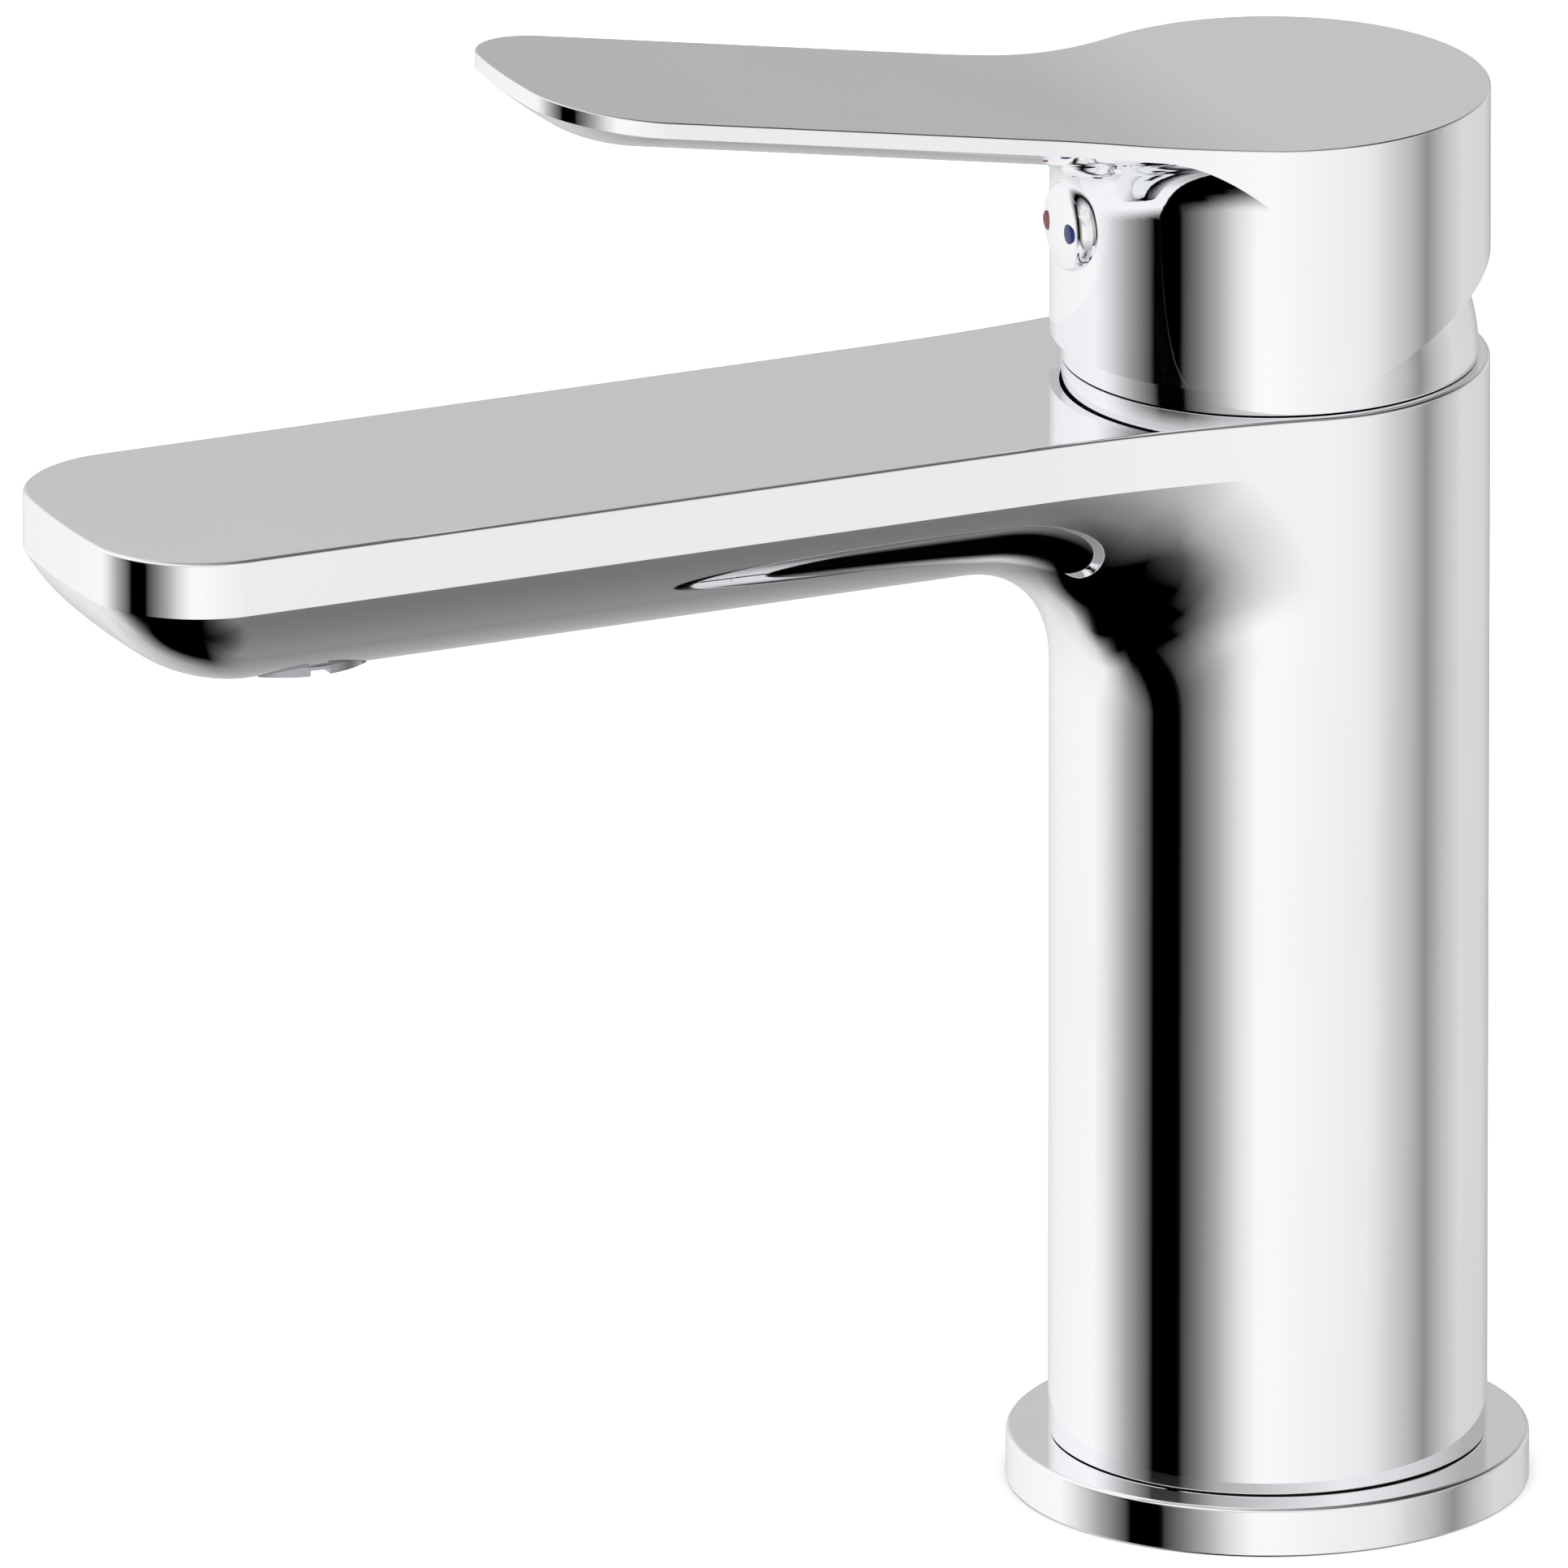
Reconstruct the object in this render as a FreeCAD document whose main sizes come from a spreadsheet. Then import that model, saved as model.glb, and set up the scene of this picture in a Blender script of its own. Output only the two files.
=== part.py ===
import FreeCAD, Part
import math
import os
import Sketcher

# Single-lever basin mixer.  Millimetres.  +Z is up, the deck is z = 0, the column's axis is the Z axis
# and the spout points towards -Y.

doc = FreeCAD.newDocument("basin_mixer")
os.makedirs("parts", exist_ok=True)

SIZES = [
    ("column_rad", 23.0, "outside radius of the column and of the handle"),
    ("column_foot", 5.56, "height of the column's lower end"),
    ("body_top", 123.4, "height of the flat top of column and spout, and of the lift pivot"),
    ("flange_rad", 27.4, "base flange radius"),
    ("flange_high", 5.25, "base flange height"),
    ("edge_break", 0.5, "small rounding on visible edges"),
    ("spout_half", 19.5, "half width of the spout"),
    ("spout_tip", 138.0, "distance from the axis to the spout's nose"),
    ("spout_band", 6.05, "height of the spout's upright side band"),
    ("spout_drop", 12.4, "depth of the curved underside below the band"),
    ("spout_corner", 11.0, "plan corner radius of the nose"),
    ("spout_nose", 22.0, "length over which the underside rises to the nose"),
    ("flare_start", 35.0, "distance from the axis at which the spout starts to widen"),
    ("channel_rad", 3.5, "water channel radius in the spout"),
    ("channel_up", 111.2, "height of the water channel"),
    ("aer_out", 112.6, "distance from the axis to the aerator's centre"),
    ("aer_bore", 9.0, "aerator bore radius"),
    ("aer_top", 115.9, "ceiling of the aerator bore"),
    ("aer_foot", 106.3, "lowest face of the aerator"),
    ("pocket_rad", 18.5, "cartridge pocket radius"),
    ("seat_up", 84.0, "height of the cartridge seat"),
    ("shoulder_up", 114.0, "height of the cartridge shoulder"),
    ("nut_bore", 19.0, "bore radius for the cartridge nut and the cover ring"),
    ("cave_rad", 18.5, "radius of the open space in the column's foot"),
    ("cave_top", 62.0, "ceiling of that space"),
    ("port_rad", 4.46, "wall radius of an M10x1 inlet port"),
    ("port_deep", 12.0, "depth of an inlet port"),
    ("stud_rad", 3.33, "wall radius of the M8 stud hole"),
    ("stud_deep", 14.0, "depth of the stud hole"),
    ("stud_back", 9.5, "distance of the stud hole behind the axis"),
    ("inlet_side", 7.5, "sideways distance of an inlet from the axis"),
    ("inlet_fore", 3.5, "forward distance of an inlet from the axis"),
    ("inlet_rad", 2.6, "radius of an inlet passage"),
    ("outlet_back", 6.0, "distance of the outlet behind the axis"),
    ("outlet_rad", 3.0, "radius of the outlet passage"),
    ("cart_rad", 17.5, "outside radius of the 35 mm cartridge"),
    ("cart_bore", 15.0, "bore radius of the cartridge housing"),
    ("base_high", 4.0, "thickness of the cartridge base"),
    ("disc_high", 4.0, "thickness of the fixed ceramic disc"),
    ("film", 0.05, "gap between the two ceramic discs"),
    ("valve_rad", 11.0, "radius of the moving disc and its carrier"),
    ("valve_high", 3.45, "thickness of the moving ceramic disc"),
    ("valve_off", 3.59, "offset of the moving disc when closed"),
    ("rotor_rad", 14.6, "radius of the rotor's foot"),
    ("neck_rad", 11.0, "radius of the rotor's neck"),
    ("neck_top", 128.0, "height of the rotor's neck"),
    ("pin_rad", 1.5, "pivot pin radius"),
    ("pin_gap", 0.05, "running clearance of the stem on the pin"),
    ("stem_half", 3.5, "half width of the square stem"),
    ("stem_tilt", 11.5, "lean of the stem towards the spout when closed, degrees"),
    ("stem_arm", 18.0, "distance from the pivot to the stem's ball"),
    ("ball_rad", 2.85, "radius of the stem's ball"),
    ("socket_rad", 3.2, "radius of the ball's socket in the carrier"),
    ("dome_rad", 21.83, "sphere radius of the cover ring, centred on the pivot"),
    ("dome_wall", 1.2, "wall of the cover ring"),
    ("dome_gap", 0.25, "gap below the cover ring"),
    ("dome_high", 9.5, "height of the cover ring's opening above the pivot"),
    ("handle_gap", 2.9, "height of the handle's skirt above the body"),
    ("handle_top", 152.8, "height of the handle's flat top"),
    ("skirt_rise", 0.42, "slope of the skirt's rear cut, so the lever can lift"),
    ("hollow_rad", 22.15, "radius of the hollow in the handle, centred on the pivot"),
    ("hollow_high", 17.2, "height of the hollow above the pivot"),
    ("lever_half", 16.2, "half width of the lever"),
    ("lever_tip", 88.0, "distance from the axis to the lever's tip"),
    ("lever_bend", 16.1, "distance from the axis at which the lever starts to rise"),
    ("lever_rise", 0.17723, "slope of the lever"),
    ("lever_thick", 5.2, "lever thickness"),
    ("lever_corner", 7.5, "plan corner radius of the lever's tip"),
    ("lever_flare", 32.0, "distance from the axis at which the lever starts to widen"),
    ("plug_up", 140.3, "height of the index plug"),
    ("plug_rad", 4.85, "index plug radius"),
    ("plug_seat", 21.5, "distance from the axis to the plug's seat"),
    ("plug_dome", 17.8, "sphere radius of the plug's face"),
    ("plug_high", 3.0, "height of the plug's face above its seat"),
    ("dot_side", 2.6, "sideways distance of a colour dot"),
    ("dot_rad", 1.05, "radius of a colour dot"),
    ("screw_rad", 2.5, "M5 set screw radius"),
]

sheet = doc.addObject("Spreadsheet::Sheet", "Sizes")
for row, (alias, value, note) in enumerate(SIZES, start=1):
    sheet.set("A%d" % row, alias)
    sheet.set("B%d" % row, str(value))
    sheet.set("C%d" % row, note)
    sheet.setAlias("B%d" % row, alias)
doc.recompute()


class Size:
    """A length together with the sheet formula that gives it."""

    def __init__(self, value, text):
        self.value = value
        self.text = text

    def _join(self, other, sign, value):
        return Size(value, "(%s %s %s)" % (self.text, sign, as_size(other).text))

    def __add__(self, other):
        return self._join(other, "+", self.value + as_size(other).value)

    def __sub__(self, other):
        return self._join(other, "-", self.value - as_size(other).value)

    def __mul__(self, other):
        return self._join(other, "*", self.value * as_size(other).value)

    def __truediv__(self, other):
        return self._join(other, "/", self.value / as_size(other).value)

    def __neg__(self):
        return Size(-self.value, "(0 - %s)" % self.text)


def as_size(item):
    if isinstance(item, Size):
        return item
    return Size(float(item), "%.5f" % item)


def size(alias):
    return Size(float(sheet.get(alias)), "Sizes.%s" % alias)


def root_of(item):
    """Square root of a size."""
    return Size(math.sqrt(item.value), "sqrt(%s)" % item.text)


def number(item):
    return as_size(item).value


def bind(thing, path, item):
    """Set a property from the sheet."""
    thing.setExpression(path, as_size(item).text)


# ---------------------------------------------------------------- building blocks

def new_body(name):
    body = doc.addObject("PartDesign::Body", name)
    body.Label = name
    return body


def origin_plane(body, role):
    for feature in body.Origin.OriginFeatures:
        if feature.Role == role:
            return feature
    raise ValueError(role)


def new_sketch(body, name, role="XY_Plane", level=0.0, lean=None):
    """A sketch on an origin plane, moved along the plane's normal by level."""
    sketch = body.newObject("Sketcher::SketchObject", name)
    sketch.AttachmentSupport = (origin_plane(body, role), "")
    sketch.MapMode = "FlatFace"
    turn = FreeCAD.Rotation(FreeCAD.Vector(1, 0, 0), lean if lean else 0.0)
    sketch.AttachmentOffset = FreeCAD.Placement(FreeCAD.Vector(0, 0, number(level)), turn)
    if isinstance(level, Size):
        bind(sketch, "AttachmentOffset.Base.z", level)
    return sketch


def pin_point(sketch, geo, pos, x, y):
    """Hold one point of a sketch at sheet-driven coordinates."""
    for kind, axis, item in (("DistanceX", -2, as_size(x)), ("DistanceY", -1, as_size(y))):
        if abs(item.value) < 1e-9:
            sketch.addConstraint(Sketcher.Constraint("PointOnObject", geo, pos, axis))
        else:
            index = sketch.addConstraint(Sketcher.Constraint(kind, -1, 1, geo, pos, item.value))
            if "Sizes." in item.text:
                bind(sketch, "Constraints[%d]" % index, item)


def add_circle(sketch, x, y, radius):
    centre = FreeCAD.Vector(number(x), number(y), 0)
    geo = sketch.addGeometry(Part.Circle(centre, FreeCAD.Vector(0, 0, 1), number(radius)), False)
    pin_point(sketch, geo, 3, x, y)
    index = sketch.addConstraint(Sketcher.Constraint("Radius", geo, number(radius)))
    if isinstance(radius, Size):
        bind(sketch, "Constraints[%d]" % index, radius)


def arc_through(start, end, radius):
    """The short anticlockwise arc from start to end."""
    chord = end - start
    half = chord.Length / 2.0
    sag = radius - math.sqrt(max(radius * radius - half * half, 0.0))
    right = FreeCAD.Vector(chord.y, -chord.x, 0).normalize()
    return Part.Arc(start, (start + end) * 0.5 + right * sag, end)


def add_loop(sketch, corners):
    """A closed outline of (x, y) corners.

    With (x, y, radius, side) the edge that leaves the corner is an arc bulging to that side.
    """
    count = len(corners)
    ends = []
    for index, corner in enumerate(corners):
        after = corners[(index + 1) % count]
        start = FreeCAD.Vector(number(corner[0]), number(corner[1]), 0)
        end = FreeCAD.Vector(number(after[0]), number(after[1]), 0)
        if len(corner) == 2:
            geo = sketch.addGeometry(Part.LineSegment(start, end), False)
            ends.append((geo, 1, 2))
            continue
        radius, side = corner[2], corner[3]
        if side == "right":
            geo = sketch.addGeometry(arc_through(start, end, number(radius)), False)
            ends.append((geo, 1, 2))
        else:
            geo = sketch.addGeometry(arc_through(end, start, number(radius)), False)
            ends.append((geo, 2, 1))
        held = sketch.addConstraint(Sketcher.Constraint("Radius", geo, number(radius)))
        if isinstance(radius, Size):
            bind(sketch, "Constraints[%d]" % held, radius)
    for index, (geo, first, last) in enumerate(ends):
        before = ends[index - 1]
        sketch.addConstraint(Sketcher.Constraint("Coincident", before[0], before[2], geo, first))
        pin_point(sketch, geo, first, corners[index][0], corners[index][1])


def add_box_loop(sketch, x0, x1, y0, y1):
    add_loop(sketch, [(x0, y0), (x1, y0), (x1, y1), (x0, y1)])


def feature(body, kind, name, sketch):
    made = body.newObject("PartDesign::" + kind, name)
    made.Profile = sketch
    sketch.Visibility = False
    return made


def pad(body, name, sketch, length, both=False):
    made = feature(body, "Pad", name, sketch)
    made.Length = number(length)
    made.Midplane = both
    bind(made, "Length", length)
    doc.recompute()
    return made


def pocket(body, name, sketch, length, up=False, both=False):
    """Cut from the sketch down (against its normal), or up, or to both sides."""
    made = feature(body, "Pocket", name, sketch)
    made.Length = number(length)
    made.Midplane = both
    made.Reversed = up
    bind(made, "Length", length)
    doc.recompute()
    return made


def turned(body, kind, name, corners):
    """A full turn of an outline of (radius, height) about the Z axis: Revolution adds, Groove cuts."""
    sketch = new_sketch(body, name + "_outline", "XZ_Plane")
    add_loop(sketch, corners)
    made = feature(body, kind, name, sketch)
    made.ReferenceAxis = (sketch, ["V_Axis"])
    made.Angle = 360.0
    doc.recompute()
    return made


def round_pad(body, name, level, length, radius, x=0.0, y=0.0):
    sketch = new_sketch(body, name + "_outline", "XY_Plane", level)
    add_circle(sketch, x, y, radius)
    return pad(body, name, sketch, length)


def round_pocket(body, name, level, length, radius, centres, up=False):
    sketch = new_sketch(body, name + "_outline", "XY_Plane", level)
    for x, y in centres:
        add_circle(sketch, x, y, radius)
    return pocket(body, name, sketch, length, up)


def ring(name, inner, outer, low, high):
    """A body that is a plain ring about the Z axis."""
    body = new_body(name)
    turned(body, "Revolution", name + "_ring", [(inner, low), (outer, low), (outer, high), (inner, high)])
    return body


def edges_where(shape, test):
    """Names of the edges of a shape whose middle passes the test."""
    names = []
    for index, edge in enumerate(shape.Edges, start=1):
        middle = edge.valueAt((edge.FirstParameter + edge.LastParameter) / 2.0)
        if test(edge, middle):
            names.append("Edge%d" % index)
    return names


def dress(body, kind, name, base, test, amount):
    """Round or chamfer the edges that pass the test; keep it only if the result is sound."""
    names = edges_where(base.Shape, test)
    made = body.newObject("PartDesign::" + kind, name)
    made.Base = (base, names)
    field = "Radius" if kind == "Fillet" else "Size"
    setattr(made, field, number(amount))
    bind(made, field, amount)
    doc.recompute()
    sound = names and "Invalid" not in made.State and "Error" not in made.State
    sound = sound and not made.Shape.isNull() and made.Shape.isValid() and made.Shape.Volume > 0
    if not sound:
        print("left out", name, len(names), "edges")
        body.removeObject(made)
        doc.removeObject(made.Name)
        body.Tip = base
        doc.recompute()
        return base
    return made


def polar(body, name, source, count):
    made = body.newObject("PartDesign::PolarPattern", name)
    made.Originals = [source]
    for item in body.Origin.OriginFeatures:
        if item.Role == "Z_Axis":
            made.Axis = (item, [""])
    made.Angle = 360.0
    made.Occurrences = count
    body.Tip = made
    doc.recompute()
    return made


# ---------------------------------------------------------------- body casting

COLUMN = size("column_rad")
TOP = size("body_top")


def spout_outline(sketch, half, tip, corner, nose_rad):
    """Plan of the spout: upright sides that widen in an arc to meet the column, and a rounded nose."""
    flare = size("flare_start")
    bend = (half * half + flare * flare - COLUMN * COLUMN) / ((COLUMN - half) * 2.0)
    reach = COLUMN / (COLUMN + bend)
    meet_x = (half + bend) * reach
    meet_y = -(flare * reach)
    # the corner arc touches the side and the shallow front arc
    front_x = (half - corner) * nose_rad / (nose_rad - corner)
    inner = nose_rad - corner
    lift = root_of(inner * inner - (half - corner) * (half - corner))
    centre_y = -(tip - nose_rad)
    corner_y = centre_y - lift
    front_y = centre_y - lift * nose_rad / inner
    back = Size(6.0, "6.0")
    add_loop(sketch, [
        (-meet_x, back), (-meet_x, meet_y, bend, "left"),
        (-half, -flare), (-half, corner_y, corner, "right"),
        (-front_x, front_y, nose_rad, "right"), (front_x, front_y, corner, "right"),
        (half, corner_y), (half, -flare, bend, "left"),
        (meet_x, meet_y), (meet_x, back)])


UNDER_LEVELS = (0.0, 0.25, 0.5, 0.72, 0.88, 0.96)


def build_body_casting():
    body = new_body("body_casting")
    half, tip = size("spout_half"), size("spout_tip")
    column_high = TOP - size("column_foot")
    round_pad(body, "column", size("column_foot"), column_high, COLUMN)

    band_level = TOP - size("spout_band")
    plan = new_sketch(body, "spout_plan", "XY_Plane", band_level)
    spout_outline(plan, half, tip, size("spout_corner"), half * 5.0)
    pad(body, "spout_band_pad", plan, size("spout_band"))

    # the underside is an arc in section, lofted through narrower and narrower plans
    drop, nose = size("spout_drop"), size("spout_nose")
    arc_rad = (half * half + drop * drop) / (drop * 2.0)
    layers = []
    for step, share in enumerate(UNDER_LEVELS):
        sink = drop * share
        height = arc_rad - drop + sink
        narrow = root_of(arc_rad * arc_rad - height * height) if share else half
        shrink = narrow / half
        sketch = new_sketch(body, "under_%d" % step, "XY_Plane", band_level - sink)
        layer_tip = tip - nose + nose * shrink
        spout_outline(sketch, narrow, layer_tip, size("spout_corner") * shrink, narrow * 5.0)
        layers.append(sketch)
    under = body.newObject("PartDesign::AdditiveLoft", "spout_under")
    under.Profile = layers[0]
    under.Sections = layers[1:]
    doc.recompute()

    def top_rim(edge, middle):
        return abs(middle.z - TOP.value) < 0.01

    dress(body, "Chamfer", "top_chamfer", under, top_rim, size("edge_break") * 0.6)

    # cartridge pocket, nut bore and seat
    turned(body, "Groove", "cartridge_pocket", [
        (0.0, size("seat_up")), (size("pocket_rad"), size("seat_up")),
        (size("pocket_rad"), size("shoulder_up")), (size("nut_bore"), size("shoulder_up")),
        (size("nut_bore"), TOP + 1.0), (0.0, TOP + 1.0)])
    round_pocket(body, "foot_space", size("column_foot"), size("cave_top") - size("column_foot"),
                 size("cave_rad"), [(0.0, 0.0)], up=True)

    # passages between the foot and the seat
    inlets = [(-size("inlet_side"), -size("inlet_fore")), (size("inlet_side"), -size("inlet_fore"))]
    round_pocket(body, "inlet_ports", size("cave_top"), size("port_deep"), size("port_rad"), inlets, up=True)
    round_pocket(body, "inlet_passages", size("seat_up"), size("seat_up") - size("cave_top"),
                 size("inlet_rad"), inlets)
    round_pocket(body, "stud_hole", size("cave_top"), size("stud_deep"), size("stud_rad"),
                 [(0.0, size("stud_back"))], up=True)
    recess = new_sketch(body, "outlet_recess_plan", "XY_Plane", size("seat_up"))
    add_box_loop(recess, -size("outlet_rad"), size("outlet_rad"),
                 size("outlet_back") - size("outlet_rad"), size("pocket_rad") - 0.2)
    pocket(body, "outlet_recess", recess, 3.0)
    pegs = [(-size("cart_rad") * 0.72, size("outlet_back")), (size("cart_rad") * 0.72, size("outlet_back"))]
    round_pocket(body, "peg_holes", size("seat_up"), 2.4, 2.1, pegs)

    # aerator bore, its spot face, and the water channel to it
    round_pocket(body, "aerator_bore", size("aer_foot") - 2.0, size("aer_top") - size("aer_foot") + 2.0,
                 size("aer_bore"), [(0.0, -size("aer_out"))], up=True)
    round_pocket(body, "aerator_spot_face", size("aer_foot") - 2.0, 3.1, size("aer_bore") + 1.2,
                 [(0.0, -size("aer_out"))], up=True)
    channel = new_sketch(body, "channel_circle", "XZ_Plane", size("aer_out"))
    add_circle(channel, 0.0, size("channel_up"), size("channel_rad"))
    pocket(body, "water_channel", channel, size("aer_out") - 10.0)
    return body


def build_base():
    """Flange, its deck gasket and the seal below the column."""
    flange = new_body("base_flange")
    inner = size("cave_rad") - 1.5
    high = size("flange_high")
    shape = turned(flange, "Revolution", "flange_ring", [
        (inner, 0.0), (21.5, 0.0), (21.5, 1.5), (25.5, 1.5), (25.5, 0.0), (size("flange_rad"), 0.0),
        (size("flange_rad"), high), (size("cave_rad") - 0.1, high), (size("cave_rad") - 0.1, high + 3.5),
        (inner, high + 3.5)])

    def outer_rim(edge, middle):
        away = math.hypot(middle.x, middle.y)
        return abs(away - size("flange_rad").value) < 0.01 and abs(middle.z - high.value) < 0.01

    dress(flange, "Fillet", "flange_rounding", shape, outer_rim, size("edge_break"))
    ring("base_gasket", 21.5, 25.5, 0.0, 1.5)
    ring("column_seal", size("cave_rad") + 0.1, COLUMN - 0.7, high, size("column_foot"))


def build_cartridge():
    """The fixed pieces of the 35 mm cartridge."""
    seat, bore = size("seat_up"), size("cart_bore")
    disc_low = seat + size("base_high")
    disc_top = disc_low + size("disc_high")
    inlets = [(-size("inlet_side"), -size("inlet_fore")), (size("inlet_side"), -size("inlet_fore"))]
    outlet = [(0.0, size("outlet_back"))]

    base = new_body("cartridge_base")
    round_pad(base, "plate", seat, size("base_high"), size("cart_rad"))
    round_pocket(base, "inlet_holes", disc_low, size("base_high"), size("inlet_rad"), inlets)
    round_pocket(base, "outlet_hole", disc_low, size("base_high"), size("outlet_rad"), outlet)
    round_pocket(base, "inlet_seal_seats", seat, 1.6, size("inlet_rad") + 1.4, inlets, up=True)
    round_pocket(base, "outlet_seal_seat", seat, 1.6, size("outlet_rad") + 1.4, outlet, up=True)
    pegs = [(-size("cart_rad") * 0.72, size("outlet_back")), (size("cart_rad") * 0.72, size("outlet_back"))]
    sketch = new_sketch(base, "pegs_plan", "XY_Plane", seat - 2.2)
    for x, y in pegs:
        add_circle(sketch, x, y, 2.0)
    pad(base, "pegs", sketch, 2.7)

    seals = []
    places = [(-1.0, -size("inlet_fore"), size("inlet_rad")),
              (1.0, -size("inlet_fore"), size("inlet_rad")),
              (0.0, size("outlet_back"), size("outlet_rad"))]
    for x, y, hole in places:
        seal = doc.addObject("Part::Torus", "seal_%d" % len(seals))
        bind(seal, "Radius1", hole + 0.7)
        bind(seal, "Radius2", size("film") * 14.0)
        bind(seal, "Placement.Base.x", size("inlet_side") * x)
        bind(seal, "Placement.Base.y", y)
        bind(seal, "Placement.Base.z", seat + 0.8)
        seals.append(seal)
    group = doc.addObject("Part::Compound", "port_seals")
    group.Label = "port_seals"
    group.Links = seals

    fixed = new_body("fixed_ceramic_disc")
    round_pad(fixed, "disc", disc_low, size("disc_high"), bore - 0.1)
    round_pocket(fixed, "disc_inlets", disc_top, size("disc_high"), size("inlet_rad"), inlets)
    round_pocket(fixed, "disc_outlet", disc_top, size("disc_high"), size("outlet_rad"), outlet)

    shoulder, neck = size("shoulder_up"), size("neck_rad") + 0.4
    housing = new_body("cartridge_housing")
    turned(housing, "Revolution", "shell", [
        (bore, disc_low), (size("cart_rad"), disc_low), (size("cart_rad"), shoulder),
        (13.5, shoulder), (13.5, shoulder + 4.0), (neck, shoulder + 4.0),
        (neck, shoulder - 1.6), (bore, shoulder - 1.6)])

    limit = new_body("hot_limit_ring")
    turned(limit, "Revolution", "limit_ring", [
        (neck, shoulder + 4.0), (13.5, shoulder + 4.0), (13.5, shoulder + 8.0), (neck, shoulder + 8.0)])
    window = new_sketch(limit, "window_plan", "XY_Plane", shoulder + 8.0)
    spread = math.radians(60.5)
    far = 20.0
    side, ahead = far * math.sin(spread), -far * math.cos(spread)
    add_loop(window, [(0.0, 0.0), (-side, ahead), (-far, -far), (far, -far), (side, ahead)])
    pocket(limit, "limit_window", window, 2.2)

    nut = new_body("cartridge_nut")
    turned(nut, "Revolution", "nut_ring", [
        (13.8, shoulder), (size("nut_bore") - 0.02, shoulder), (size("nut_bore") - 0.02, shoulder + 5.5),
        (13.8, shoulder + 5.5)])
    slot = new_sketch(nut, "slot_plan", "XY_Plane", shoulder + 5.5)
    add_box_loop(slot, 14.0, 20.0, -1.6, 1.6)
    cut = pocket(nut, "key_slot", slot, 2.5)
    polar(nut, "key_slots", cut, 6)


def build_cover_ring():
    """The chromed, ball-shaped cover over the cartridge, and its seal."""
    foot = TOP + size("dome_gap")
    outer = size("dome_rad")
    inner = outer - size("dome_wall")
    high = size("dome_high")
    gap, floor = size("dome_gap"), size("dome_gap") + 1.2
    spigot = size("nut_bore") - 0.2
    body = new_body("dome_ring")
    turned(body, "Revolution", "cover", [
        (16.2, TOP - 3.5), (spigot, TOP - 3.5), (spigot, TOP - 2.45), (spigot - 1.4, TOP - 2.45),
        (spigot - 1.4, TOP - 0.75), (spigot, TOP - 0.75), (spigot, foot),
        (root_of(outer * outer - gap * gap), foot, outer, "right"),
        (root_of(outer * outer - high * high), TOP + high),
        (root_of(inner * inner - high * high), TOP + high, inner, "left"),
        (root_of(inner * inner - floor * floor), TOP + floor), (16.2, TOP + floor)])
    seal = doc.addObject("Part::Torus", "dome_o_ring")
    seal.Label = "dome_o_ring"
    bind(seal, "Radius1", size("nut_bore") - 0.8)
    bind(seal, "Radius2", size("film") * 16.0)
    bind(seal, "Placement.Base.z", TOP - 1.6)


def build_aerator():
    foot, out, bore = size("aer_foot"), size("aer_out"), size("aer_bore")
    names = []

    housing = new_body("aerator_housing")
    turned(housing, "Revolution", "thread_body", [
        (7.0, foot), (bore + 0.9, foot), (bore + 0.9, foot + 1.0), (bore - 0.05, foot + 1.0),
        (bore - 0.05, foot + 8.4), (7.9, foot + 8.4), (7.9, foot + 0.8), (7.0, foot + 0.8)])
    notch = new_sketch(housing, "notch_plan", "XY_Plane", foot)
    add_box_loop(notch, 6.0, 11.0, -1.1, 1.1)
    cut = pocket(housing, "key_notch", notch, 0.6, up=True)
    polar(housing, "key_notches", cut, 8)
    names.append(housing)

    insert = new_body("aerator_insert")
    round_pad(insert, "core", foot + 0.8, 6.4, 7.85)
    for index, (circle, holes) in enumerate(((2.4, 6), (5.4, 12))):
        cut = round_pocket(insert, "jet_%d" % index, foot + 7.2, 6.4, 0.85, [(circle, 0.0)])
        polar(insert, "jets_%d" % index, cut, holes)
    names.append(insert)

    screen = new_body("aerator_screen")
    round_pad(screen, "mesh_disc", foot + 7.2, 0.5, 7.85)
    for index, (circle, holes) in enumerate(((2.2, 6), (4.4, 12), (6.4, 18))):
        cut = round_pocket(screen, "hole_%d" % index, foot + 7.7, 0.5, 0.55, [(circle, 0.0)])
        polar(screen, "holes_%d" % index, cut, holes)
    names.append(screen)

    names.append(ring("aerator_washer", 6.5, bore - 0.1, foot + 8.4, size("aer_top")))
    for body in names:
        bind(body, "Placement.Base.y", -out)


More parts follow.
